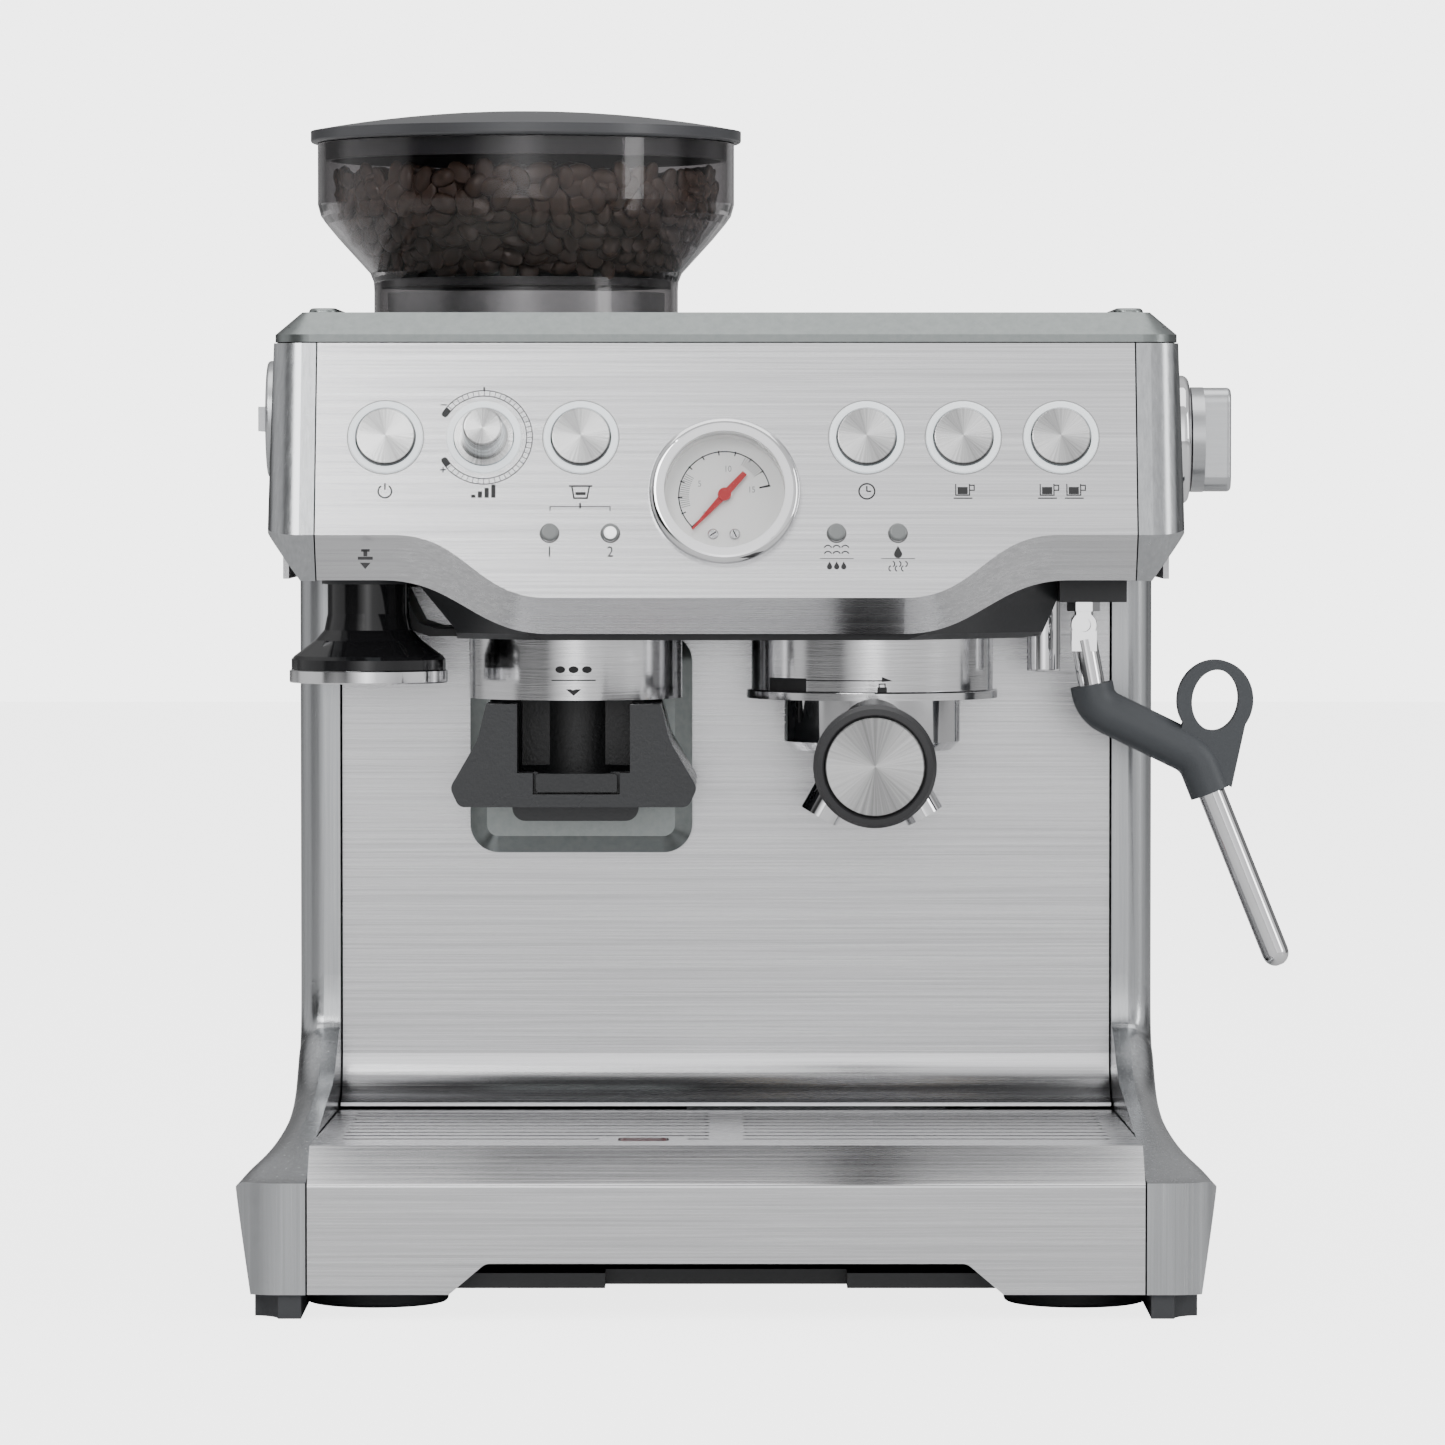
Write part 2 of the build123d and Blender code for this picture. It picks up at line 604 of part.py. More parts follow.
def grind_adjuster():
    """Bearing block and lever box of the grind size dial."""
    body = block(-134, -118, SIDE_KNOB_Y - 12, SIDE_KNOB_Y + 12, GRIND_DIAL_Z - 12, GRIND_DIAL_Z + 12)
    return body - rod_x(-140, -125, SIDE_KNOB_Y, GRIND_DIAL_Z, 4.3)


# ---- hopper and grinder ------------------------------------------------------
def hopper_bowl():
    """Smoky clear bean hopper, a turned shape with a straight neck."""
    outer = [
        (HOPPER_R, 392), (HOPPER_R, 371), (71.8, 367), (69.9, 364.3), (65.5, 359),
        (54.6, 347), (53.4, 344), (53.2, 341), (53.2, 320),
    ]
    inner = [
        (50.9, 320), (50.9, 345), (63.4, 360.4), (67.6, 365.5), (70.3, 371), (70.6, 392),
    ]
    return lathe(outer + inner, HOPPER_X, HOPPER_Y)


def hopper_shutter():
    """Black gate across the hopper's neck, with a bar over its throat."""
    gate = tube(HOPPER_X, HOPPER_Y, 342, 345, 50.85, 24)
    return gate + block(HOPPER_X - 25, HOPPER_X + 25, HOPPER_Y - 5, HOPPER_Y + 5, 342, 345)


def coffee_beans():
    """The fill of beans as one simple solid."""
    pts = [
        (0, 345.3), (50.9, 345.3), (63.2, 360.6), (67.3, 365.7), (69.8, 371), (70.0, BEAN_Z),
        (40, BEAN_Z + 2.5), (0, BEAN_Z + 3.5),
    ]
    return lathe(pts, HOPPER_X, HOPPER_Y)


def hopper_lid():
    """Dark domed lid with a plug ring below."""
    rise = LID_TOP - 396.5
    dome_r = (LID_R**2 + rise**2) / (2 * rise)
    lid = rod(HOPPER_X, HOPPER_Y, 392.4, LID_TOP + 1, LID_R)
    lid &= Pos(HOPPER_X, HOPPER_Y, LID_TOP - dome_r) * Sphere(dome_r)
    lid = fillet(lid.edges().group_by(Axis.Z)[0], 1.0)
    lid -= rod(HOPPER_X, HOPPER_Y, 391, 396, 66)
    return lid + tube(HOPPER_X, HOPPER_Y, 386, 392.4, 70.2, 68.2)


def grinder_housing():
    """Cast chamber under the hopper that holds the burrs."""
    cup = rod(HOPPER_X, HOPPER_Y, 262, 317, 41) - rod(HOPPER_X, HOPPER_Y, 265, 318, 36)
    cup += tube(HOPPER_X, HOPPER_Y, 314, 319, 48.5, 36) + tube(HOPPER_X, HOPPER_Y, 319, 340, 48.5, 45)
    cup -= rod(HOPPER_X, HOPPER_Y, 260, 270, 5.5)
    cup -= block(HOPPER_X - 9, HOPPER_X + 9, HOPPER_Y - 50, HOPPER_Y - 20, 265, 283)
    return cup


def upper_burr():
    """Fixed outer burr ring with its carrier."""
    ring = tube(HOPPER_X, HOPPER_Y, 288, 300, 35.9, 22)
    for k in range(18):
        notch = Pos(23.2, 0, 288) * Box(3, 1.6, 26)
        ring -= Pos(HOPPER_X, HOPPER_Y, 0) * Rot(0, 0, 20 * k) * notch
    return ring


def lower_burr():
    """Turning conical burr on its spindle."""
    cone = lathe([(4, 272), (21.0, 272), (21.0, 284), (10, 302), (4, 305)], HOPPER_X, HOPPER_Y)
    for k in range(8):
        tooth = Pos(15, 0, 292) * Rot(0, -32, 0) * Box(2.5, 2, 14)
        cone -= Pos(HOPPER_X, HOPPER_Y, 0) * Rot(0, 0, 45 * k) * tooth
    return cone


def gear_wheel(teeth, module, height, bore, phase=0.0):
    """Straight toothed gear with plain trapezoid teeth."""
    pitch_r = teeth * module / 2
    root_r = pitch_r - 1.15 * module
    tip_r = pitch_r + 0.85 * module
    wheel = Cylinder(root_r, height, align=UP)
    root_w = 1.95 * module
    tip_w = 0.75 * module
    tooth_face = outline([
        (root_r - 0.6, -root_w / 2), (tip_r, -tip_w / 2), (tip_r, tip_w / 2), (root_r - 0.6, root_w / 2),
    ])
    tooth = extrude(tooth_face, amount=height)
    teeth_set = [Rot(0, 0, phase + 360 * k / teeth) * tooth for k in range(teeth)]
    wheel = wheel.fuse(*teeth_set)
    return wheel - Pos(0, 0, -1) * Cylinder(bore, height + 2, align=UP)


def drive_gear():
    """Large gear on the burr spindle."""
    return Pos(HOPPER_X, HOPPER_Y, GEAR_Z) * gear_wheel(GEAR_TEETH, GEAR_MODULE, GEAR_H, 4.0)


def burr_spindle():
    """Steel spindle that carries gear and lower burr."""
    spindle = rod(HOPPER_X, HOPPER_Y, 249, 312, 3.99)
    return spindle + rod(HOPPER_X, HOPPER_Y, 312, 314, 6)


def motor_pinion():
    """Small gear on the motor shaft, meshing with the drive gear."""
    centre = (GEAR_TEETH + PINION_TEETH) * GEAR_MODULE / 2
    wheel = gear_wheel(PINION_TEETH, GEAR_MODULE, GEAR_H, 2.5, phase=PINION_PHASE)
    return Pos(HOPPER_X, HOPPER_Y + centre, GEAR_Z) * wheel


def motor_shaft():
    """Shaft of the grinder motor."""
    centre = (GEAR_TEETH + PINION_TEETH) * GEAR_MODULE / 2
    return rod(HOPPER_X, HOPPER_Y + centre, 226, 258.5, 2.49)


def grinder_motor():
    """Grinder motor can, upright behind the splash panel."""
    centre = (GEAR_TEETH + PINION_TEETH) * GEAR_MODULE / 2
    y = HOPPER_Y + centre
    can = rod(HOPPER_X, y, 150, 238, 32) + rod(HOPPER_X, y, 238, 243, 10)
    can = can + rod(HOPPER_X, y, 144, 150, 12)
    return can - rod(HOPPER_X, y, 225, 250, 2.8)


def grounds_chute():
    """Chute that leads ground coffee forward and down to the outlet."""
    duct = block(-79, -61, -36, -25, 265.2, 282.8) + block(-79, -36.5, -69, -36, 256, 282.8)
    duct -= block(-77, -63, -38, -20, 267, 281)
    duct -= block(-77, -38.5, -67, -35, 258, 281)
    spout = rod(GRIND_X, GRIND_Y, 207, 256, 14) - rod(GRIND_X, GRIND_Y, 206, 257, 12)
    duct -= rod(GRIND_X, GRIND_Y, 250, 259, 12)
    return duct + spout


def grinder_collar():
    """Polished collar of the grinder outlet."""
    body = tube(GRIND_X, GRIND_Y, COLLAR_Z, 243.5, GRIND_R, GRIND_R - 2.5)
    return body + tube(GRIND_X, GRIND_Y, 226, 229, GRIND_R - 2.4, 14.1)


def outlet_bezel():
    """Satin silver raised surround behind the portafilter cradle."""
    plan = Pos(-50.5, 183.0) * RectangleRounded(77.5, 76.4, 10)
    back = prism_y(plan, -6, SPLASH_Y - 0.05)
    return chamfer(back.edges().group_by(Axis.Y)[0], 6)


def grind_cradle():
    """Black fork that holds the portafilter under the grinder, with a pad below it."""
    half = [
        (0, 165), (38.6, 165), (41.6, 171.5), (32.3, 187.5), (29.4, 199.6), (19, 199.6),
        (19, 176.5), (0, 176.5),
    ]
    left = [(-x, z) for x, z in reversed(half[1:-1])]
    section = outline(half + left)
    for x, z, r in ((38.6, 165, 3.2), (41.6, 171.5, 3.6), (32.3, 187.5, 14)):
        for side in (-1, 1):
            corner = section.vertices().sort_by_distance((side * x, z, 0))[0]
            section = fillet(corner, r)
    body = prism_y(Pos(GRIND_X, 0) * section, -94, -6.4)
    body -= block(-65.0, -35.7, -95, -84, 169.3, 177)
    body -= rod(GRIND_X, GRIND_Y, 170, 205, 31.5)
    pad = block(GRIND_X - 21.5, GRIND_X + 21.5, -62, -6.4, 158.8, 165.5)
    low_edges = [e for e in pad.edges().filter_by(Axis.Y) if e.center().Z < 160]
    throat = block(GRIND_X - 24.5, GRIND_X + 24.5, -25, -6.4, 163, 199.6)
    return (body + fillet(low_edges, 4.5) + throat - rod(GRIND_X, GRIND_Y, 170, 205, 31.5)).solids()[0]


def grind_switch():
    """Push plate at the front of the cradle that starts the grinder."""
    plate = block(-64.0, -36.7, -93.5, -87.5, 170.1, 176.2)
    return fillet(plate.edges().filter_by(Axis.Y), 1.0)


# ---- brew group and portafilter ----------------------------------------------
def group_collar():
    """Polished collar round the brew group."""
    body = tube(GROUP_X, GROUP_Y, COLLAR_Z, 243.5, GROUP_R, GROUP_R - 2.6)
    lip = fillet(tube(GROUP_X, GROUP_Y, COLLAR_Z, COLLAR_Z + 3, GROUP_R + 1.5, GROUP_R - 1).edges()
                 .group_by(Axis.Z)[-1], 0.6)
    return body + lip


def sector(r_out, r_in, z0, z1, start, sweep):
    """Part of a flat ring, from a start angle over a sweep."""
    ring = tube(0, 0, z0, z1, r_out, r_in)
    n = 8
    pts = [(0, 0)]
    for k in range(n + 1):
        a = radians(start + sweep * k / n)
        pts.append((80 * cos(a), 80 * sin(a)))
    return ring & prism_z(outline(pts), z0 - 1, z1 + 1)


def group_ring():
    """Cast bayonet ring of the group: two ledges carry the portafilter's lugs."""
    ring = tube(0, 0, 204, 236, 38.6, 36.6) + tube(0, 0, 216.5, 236, 37, 30)
    for start in (-60, 120):
        ring += sector(37, 33.6, 204, 207.5, start, 100)
    return Pos(GROUP_X, GROUP_Y, 0) * ring


def group_head():
    """Brass brew head above the bayonet ring."""
    head = rod(GROUP_X, GROUP_Y, 218.5, 262, 29.8) + rod(GROUP_X, GROUP_Y, 236.1, 250, 36)
    return head - rod(GROUP_X, GROUP_Y, 217, 224, 25)


def group_gasket():
    """Rubber seal that the portafilter rim presses on."""
    return tube(GROUP_X, GROUP_Y, 211.6, 216.4, 36.4, 27.2)


def shower_screen():
    """Perforated steel screen under the brew head."""
    plate = rod(GROUP_X, GROUP_Y, 214.5, 216, 26.6) + tube(GROUP_X, GROUP_Y, 216, 218.4, 26.6, 25)
    for ring_r, count in ((7, 8), (13, 14), (19, 20)):
        for k in range(count):
            a = radians(360 * k / count)
            plate -= rod(GROUP_X + ring_r * cos(a), GROUP_Y + ring_r * sin(a), 213, 217, 0.9)
    return plate


def handle_axis(t):
    """Point on the handle's centre line, t = 0 at the bowl and 1 at the end."""
    root = (GROUP_X, GROUP_Y - 26, 191.6)
    return tuple(a + (b - a) * t for a, b in zip(root, HANDLE_END))


def handle_turned(points):
    """Revolve a (radius, distance from the bowl) outline about the handle's line."""
    a, b = Vector(*handle_axis(0)), Vector(*handle_axis(1))
    direction = (b - a).normalized()
    frame = Plane(origin=a, x_dir=(1, 0, 0), z_dir=direction)
    return frame * revolve(Plane.XZ * outline(points), axis=Axis.Z)


HANDLE_LEN = (Vector(*handle_axis(1)) - Vector(*handle_axis(0))).length


def portafilter_body():
    """Chromed holder with bayonet lugs and the socket for the grip."""
    cup = lathe([
        (0, 183), (27, 183), (PORTA_R, 186), (PORTA_R, 203), (33.2, 205), (33.2, 211.2),
        (29.4, 211.2), (29.4, 208.6), (27.6, 208.6), (27.6, 187), (25, 185.4), (0, 185.4),
    ], GROUP_X, GROUP_Y)
    for start in (-35, 145):
        cup += Pos(GROUP_X, GROUP_Y, 0) * sector(36.2, 32.5, 207.8, 211.0, start, 50)
    neck = handle_turned([(0, -4), (8.2, -4), (7.6, 12), (7.6, 22), (0, 22)])
    neck -= rod(GROUP_X, GROUP_Y, 170, 212, 28)
    cup += neck
    return cup - rod(GROUP_X, GROUP_Y, 180, 190, 4.6)


def filter_basket():
    """Pressed steel filter basket."""
    return lathe([
        (0, 188), (24, 188), (26.8, 191), (26.8, 209.4), (29.2, 209.4), (29.2, 210.4),
        (26.1, 210.4), (26.1, 191.6), (23.6, 188.7), (0, 188.7),
    ], GROUP_X, GROUP_Y)


def portafilter_spouts():
    """Twin outlet: a central boss with a cross tube, and two round splayed spouts, open at their ends."""
    body = rod(0, 0, 171, 183, 9) + rod(0, 0, 183, 186.5, 4.4)
    body += Pos(0, 0, 173.4) * Rot(0, 90, 0) * Cylinder(6.4, 22)
    for side in (-1, 1):
        elbow = Plane(origin=(side * 11, 0, 172.9), z_dir=(side * 7.2, 0, -12.7))
        body += elbow * Cylinder(6.8, 14.6, align=UP)
        body += elbow * Sphere(7.3)
    for side in (-1, 1):
        elbow = Plane(origin=(side * 11, 0, 172.9), z_dir=(side * 7.2, 0, -12.7))
        body -= elbow * Pos(0, 0, 8.2) * Cylinder(5.5, 10, align=UP)
    return Pos(GROUP_X, GROUP_Y, 0) * body

def portafilter_grip():
    """Black grip, slim at the neck, with a soft ring round its end."""
    end = HANDLE_LEN
    return handle_turned([
        (0, 22.1), (10.5, 22.1), (12, 30), (12.6, 60), (14.5, 90), (17.3, end - 12), (17.6, end - 8.6),
        (18.8, end - 7.6), (19.7, end - 6.0), (19.7, end - 2.4), (18.6, end - 0.6), (16.8, end - 0.4),
        (16.2, end - 1.0), (16.2, end - 7.4), (0, end - 7.4),
    ])


def grip_cap():
    """Brushed steel disc in the end of the grip."""
    a, b = HANDLE_LEN - 7.4, HANDLE_LEN
    return handle_turned([(0, a), (16.1, a), (16.1, b - 0.9), (15.4, b), (0, b)])


# ---- tamper, spout and steam wand --------------------------------------------
def tamper_body():
    """Glossy black tamper: flared foot and a neck held in the head."""
    return lathe([
        (0, 211.3), (26, 211.3), (26, 214.6), (25, 215.8), (18, 221), (14.9, 224.5), (13.8, 230),
        (13.8, 250), (12.6, 251.4), (0, 251.4),
    ], TAMPER_X, TAMPER_Y)


def tamper_foot():
    """Steel pressing face of the tamper."""
    return lathe([(0, 206.8), (26.4, 206.8), (26.65, 207.2), (26.65, 210.8), (26, 211.2), (0, 211.2)],
                 TAMPER_X, TAMPER_Y)


def tamper_magnet():
    """Magnet above the tamper's neck."""
    return rod(TAMPER_X, TAMPER_Y, 256.1, 260, 10)


def hot_water_spout():
    """Fixed hot water outlet."""
    body = tube(SPOUT_X, SPOUT_Y, 209.8, 250, 5.7, 3.6)
    return fillet(body.edges().group_by(Axis.Z)[0], 0.8)


def wand_nut():
    """Nut and socket of the steam wand's ball joint."""
    nut = prism_z(Pos(WAND_X, WAND_Y) * RegularPolygon(5.6, 6), 230.6, 233.9)
    nut += rod(WAND_X, WAND_Y, 233.9, 256, 5.0)
    return nut - rod(WAND_X, WAND_Y, 229, 236, 3.6)


def wand_ball():
    """Swivel of the steam wand, turning about an upright line."""
    stem = rod(WAND_X, WAND_Y, 230.5, 235.8, 3.3)
    stem += rod(WAND_X, WAND_Y, 226, 230.5, 3.3) & block(110, 130, WAND_Y - 2.2, WAND_Y + 2.2, 225, 231)
    yoke = Pos(WAND_X, WAND_Y, WAND_BALL_Z) * Sphere(4.6)
    yoke &= block(WAND_X - 9, WAND_X + 9, WAND_Y - 2.2, WAND_Y + 2.2, 215, 235)
    return stem + yoke


WAND_DIR = Vector(0.371, 0, -0.928).normalized()
WAND_TIP = Vector(188.0, WAND_Y, 110.5)


def bent(points, bends, radius):
    """A round bar along straight runs joined by tangent arcs."""
    path = FilletPolyline(*points, radius=bends)
    start = Plane(origin=path @ 0, z_dir=path % 0)
    return sweep(start * Circle(radius), path=path)


WAND_TOP = (121.0, WAND_Y, 221.0)
WAND_ELBOW = (125.2, WAND_Y, 198.3)
WAND_KNEE = (159.5, WAND_Y, 181.6)


def wand_tube():
    """Steel tube of the wand, bent once, with the fork of its tilt joint and its tip."""
    fork = Pos(WAND_X, WAND_Y, WAND_BALL_Z) * Rot(90, 0, 0) * Cylinder(4.2, 8.6)
    fork += Pos(121.1, WAND_Y, 220.6) * Box(8.4, 8.6, 7)
    fork -= block(110, 132, WAND_Y - 2.5, WAND_Y + 2.5, 220.6, 240)
    fork -= Pos(WAND_X, WAND_Y, WAND_BALL_Z) * Sphere(4.9)
    tip = Pos(WAND_TIP - WAND_DIR * 4.55) * Sphere(4.5)
    bore = Plane(origin=WAND_TIP - WAND_DIR * 10, z_dir=WAND_DIR) * Cylinder(1.4, 12, align=UP)
    end = WAND_TIP - WAND_DIR * 4.55
    bar = bent([WAND_TOP, WAND_ELBOW, WAND_KNEE, tuple(end)], [10, 12], 4.55)
    return bar + fork + tip - bore


def wand_grip():
    """Rubber grip moulded over the bend, with a finger ring."""
    bar = bent([(123.8, WAND_Y, 205.8), WAND_ELBOW, WAND_KNEE, (164.4, WAND_Y, 169.3)], [10, 12], 7.3)
    core = bent([WAND_TOP, WAND_ELBOW, WAND_KNEE, tuple(WAND_TIP)], [10, 12], 4.6)
    web = prism_y(outline([(151, 184), (156, 196), (176, 194), (171, 171), (163, 176)]),
                  WAND_Y - 4.5, WAND_Y + 4.5)
    ring_at = Pos(165.5, 0, 200.5) * Rot(0, 8, 0)
    ring = Pos(0, WAND_Y + 4.5, 0) * ring_at * extrude(Plane.XZ * Ellipse(12.8, 13.7), amount=9)
    hole = Pos(0, WAND_Y + 8, 0) * ring_at * extrude(Plane.XZ * Ellipse(7.9, 10.3), amount=16)
    body = bar + web + ring - hole - core
    return body.solids().sort_by(SortBy.VOLUME)[-1]


# ---- rear and insides --------------------------------------------------------
def case_screws():
    """Six pan head screws through the rear wall."""
    screws = []
    for side in (-1, 1):
        for z in SCREW_Z:
            head = rod_y(98.6, 100.6, side * 138, z, 3.4)
            screws.append(head + rod_y(88, 98.6, side * 138, z, 1.5))
    return screws


def water_tank():
    """Clear removable tank at the rear, open at the top."""
    tank = rounded(-TANK_X, TANK_X, TANK_Y0, TANK_Y1, 16, 318, 8)
    tank -= rounded(-TANK_X + 2.5, TANK_X - 2.5, TANK_Y0 + 2.5, TANK_Y1 - 2.5, 19, 319, 5.5)
    return tank


def tank_lid():
    """Satin silver lid that completes the top of the machine."""
    lid = block(-150.8, 150.8, COVER_BACK + 0.5, BACK_Y + 1, HEAD_TOP + 0.4, COVER_TOP)
    rim = [e for e in lid.edges().group_by(Axis.Z)[-1] if e.center().Y > COVER_BACK + 1]
    lid = chamfer(rim, 7.5, 9.0).solids()[0]
    lid -= block(-140, 140, COVER_BACK + 3, BACK_Y - 8, HEAD_TOP - 1, COVER_TOP - 3)
    lid -= rounded(-30, 30, 96, 108, COVER_TOP - 2, COVER_TOP + 2, 3)
    return lid


def cord_gland():
    """Black bush in the rear sill where the mains lead would leave."""
    return rod_y(92, 101, 134, 36, 5.5) + rod_y(98.6, 101, 134, 36, 8)


def boiler():
    """Upright heating vessel."""
    body = fillet(rod(62, 46, 96, 186, 28).edges(), 6)
    return body + rod(62, 46, 186, 192, 7)


def pump():
    """Vibration pump lying across the base."""
    body = rod_x(10, 60, 52, 50, 18) + rod_x(-14, 10, 52, 50, 9) + rod_x(60, 78, 52, 50, 7)
    return body


def pump_mounts():
    """Rubber saddles under the pump."""
    saddle = block(14, 20, 36, 68, 13.2, 50) + block(50, 56, 36, 68, 13.2, 50)
    return list((saddle - rod_x(0, 80, 52, 50, 18.05)).solids())


def solenoid_valve():
    """Three-way valve beside the boiler."""
    return block(100, 120, 30, 56, 196, 216) + rod(110, 43, 216, 248, 9)


def water_pipes():
    """Pipes from pump to boiler, to the brew head and to the steam valve."""
    feed = [(78.2, 52, 50), (98, 52, 50), (98, 46, 140), (90.4, 46, 140)]
    brew = [(62, 46, 192.2), (62, 46, 268), (49.8, -55, 268), (49.8, -55, 262.2)]
    steam = [(110, 43, 248.2), (110, 43, 262), (116, -40, 262), (116, -40, 266.4)]
    return [
        bent(feed, [10, 5], 2.2),
        bent(brew, [10, 5], 2.2),
        bent(steam, [8, 4], 2.2),
    ]


def transformer_board():
    """Power board on the left behind the splash panel."""
    return block(-140, -138.4, 34, 84, 70, 200) + block(-138.4, -116, 40, 70, 90, 120)


# ---- write every node --------------------------------------------------------
def build():
    """All nodes by name. A group of like or hidden pieces shares one node."""
    casting = wing_and_column()
    corner = head_corner()
    nodes = {
        "chassis": chassis(),
        "feet": Compound([*round_feet(), *corner_boots()]),
        "rear_fittings": Compound([*case_screws(), cord_gland()]),
        "side_castings": Compound([casting, mirrored(casting)]),
        "splash_panel": splash_panel(),
        "tray_front": tray_front(),
        "tray_bin": tray_bin(),
        "drip_grid": drip_grid(),
        "tray_float": tray_float(),
        "front_panel": front_panel(),
        "head_corners": Compound([corner, mirrored(corner)]),
        "head_sides": Compound([head_side(), head_side_left()]),
        "head_floor": head_floor(),
        "top_cover": top_cover(),
        "cup_plate": cup_plate(),
        "light_rings": light_rings(),
        "grind_amount_knob": grind_knob(),
        "led_lenses": led_lenses(),
        "circuit_boards": Compound([control_board(), *push_switches(), transformer_board()]),
        "gauge_bezel": gauge_bezel(),
        "gauge_dial": gauge_dial(),
        "gauge_needle": gauge_needle(),
        "gauge_lens": gauge_lens(),
        "steam_bezel": steam_bezel(),
        "steam_knob": steam_knob(),
        "grind_size_dial": grind_size_dial(),
        "hopper_bowl": hopper_bowl(),
        "hopper_shutter": hopper_shutter(),
        "coffee_beans": coffee_beans(),
        "hopper_lid": hopper_lid(),
        "grinder_housing": Compound([
            grinder_housing(), upper_burr(), grounds_chute(), grind_adjuster(),
        ]),
        "lower_burr": lower_burr() + burr_spindle(),
        "drive_gear": drive_gear(),
        "motor_pinion": motor_pinion() + motor_shaft(),
        "grinder_motor": grinder_motor(),
        "grinder_collar": grinder_collar(),
        "outlet_bezel": outlet_bezel(),
        "grind_cradle": grind_cradle(),
        "grind_switch": grind_switch(),
        "group_collar": group_collar(),
        "group_head": Compound([group_ring(), group_head(), group_gasket(), shower_screen()]),
        "portafilter_body": portafilter_body(),
        "portafilter_spouts": portafilter_spouts(),
        "filter_basket": filter_basket(),
        "portafilter_grip": portafilter_grip(),
        "grip_cap": grip_cap(),
        "tamper_body": tamper_body(),
        "tamper_foot": tamper_foot(),
        "spout_and_nut": Compound([hot_water_spout(), wand_nut(), tamper_magnet()]),
        "wand_ball": wand_ball(),
        "wand_tube": wand_tube(),
        "wand_grip": wand_grip(),
        "water_tank": water_tank(),
        "tank_lid": tank_lid(),
        "boiler_and_pump": Compound([
            boiler(), pump(), *pump_mounts(), solenoid_valve(), steam_valve(), *water_pipes(),
        ]),
    }
    for name, x in zip(("power", "filter", "program", "one_cup", "two_cup"), BUTTON_X):
        nodes[name + "_button"] = push_button(x)
    return nodes


os.makedirs("parts", exist_ok=True)
for node, shape in build().items():
    export_step(shape, f"parts/{node}.step")
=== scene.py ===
import math
import random

import bmesh
import bpy
from mathutils import Matrix, Vector


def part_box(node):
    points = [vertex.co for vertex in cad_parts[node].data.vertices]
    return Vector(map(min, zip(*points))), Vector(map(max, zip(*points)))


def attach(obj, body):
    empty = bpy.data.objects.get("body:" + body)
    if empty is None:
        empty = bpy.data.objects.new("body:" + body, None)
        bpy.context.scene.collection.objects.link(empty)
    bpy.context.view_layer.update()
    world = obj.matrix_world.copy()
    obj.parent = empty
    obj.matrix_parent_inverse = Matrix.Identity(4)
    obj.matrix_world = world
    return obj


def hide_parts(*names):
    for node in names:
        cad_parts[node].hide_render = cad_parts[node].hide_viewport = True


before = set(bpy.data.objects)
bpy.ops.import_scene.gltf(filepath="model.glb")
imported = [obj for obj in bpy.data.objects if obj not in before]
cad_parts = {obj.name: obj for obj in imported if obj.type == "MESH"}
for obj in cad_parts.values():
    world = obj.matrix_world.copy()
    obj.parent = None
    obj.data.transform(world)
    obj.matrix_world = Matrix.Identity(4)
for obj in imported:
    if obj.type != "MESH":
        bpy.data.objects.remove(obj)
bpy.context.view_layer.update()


# ---- chassis, bin and other black mouldings ----------------------------------
# The floor, the drip bin, the head's underside and the hopper gate are injection moulded in
# black ABS. The tool leaves a fine matt grain, and dust greys it a little.

def node_group(name, inputs, outputs):
    """An empty shader group with named inputs (name, kind, value) and outputs (name, kind)."""
    group = bpy.data.node_groups.new(name, "ShaderNodeTree")
    for label, kind, value in inputs:
        socket = group.interface.new_socket(label, in_out="INPUT", socket_type=kind)
        if value is not None:
            socket.default_value = value
    for label, kind in outputs:
        group.interface.new_socket(label, in_out="OUTPUT", socket_type=kind)
    ends = group.nodes.new("NodeGroupInput"), group.nodes.new("NodeGroupOutput")
    return group, ends[0], ends[1]


def grain_group():
    """Moulded grain: a height for Bump and a slight unevenness for roughness and colour."""
    group, start, end = node_group(
        "mould_grain",
        [("Size", "NodeSocketFloat", 900.0), ("Dark", "NodeSocketColor", None),
         ("Pale", "NodeSocketColor", None), ("Low", "NodeSocketFloat", 0.4),
         ("High", "NodeSocketFloat", 0.55)],
        [("Color", "NodeSocketColor"), ("Roughness", "NodeSocketFloat"),
         ("Height", "NodeSocketFloat")],
    )
    place = group.nodes.new("ShaderNodeTexCoord")
    fine = group.nodes.new("ShaderNodeTexNoise")
    fine.inputs["Detail"].default_value = 3.0
    broad = group.nodes.new("ShaderNodeTexNoise")
    broad.inputs["Scale"].default_value = 14.0
    broad.inputs["Detail"].default_value = 4.0
    tint = group.nodes.new("ShaderNodeMix")
    tint.data_type = "RGBA"
    rough = group.nodes.new("ShaderNodeMapRange")
    link = group.links.new
    link(place.outputs["Object"], fine.inputs["Vector"])
    link(place.outputs["Object"], broad.inputs["Vector"])
    link(start.outputs["Size"], fine.inputs["Scale"])
    link(broad.outputs["Fac"], tint.inputs[0])
    link(start.outputs["Dark"], tint.inputs[6])
    link(start.outputs["Pale"], tint.inputs[7])
    link(broad.outputs["Fac"], rough.inputs["Value"])
    link(start.outputs["Low"], rough.inputs["To Min"])
    link(start.outputs["High"], rough.inputs["To Max"])
    link(tint.outputs[2], end.inputs["Color"])
    link(rough.outputs[0], end.inputs["Roughness"])
    link(fine.outputs["Fac"], end.inputs["Height"])
    return group


MOULD_GRAIN = grain_group()


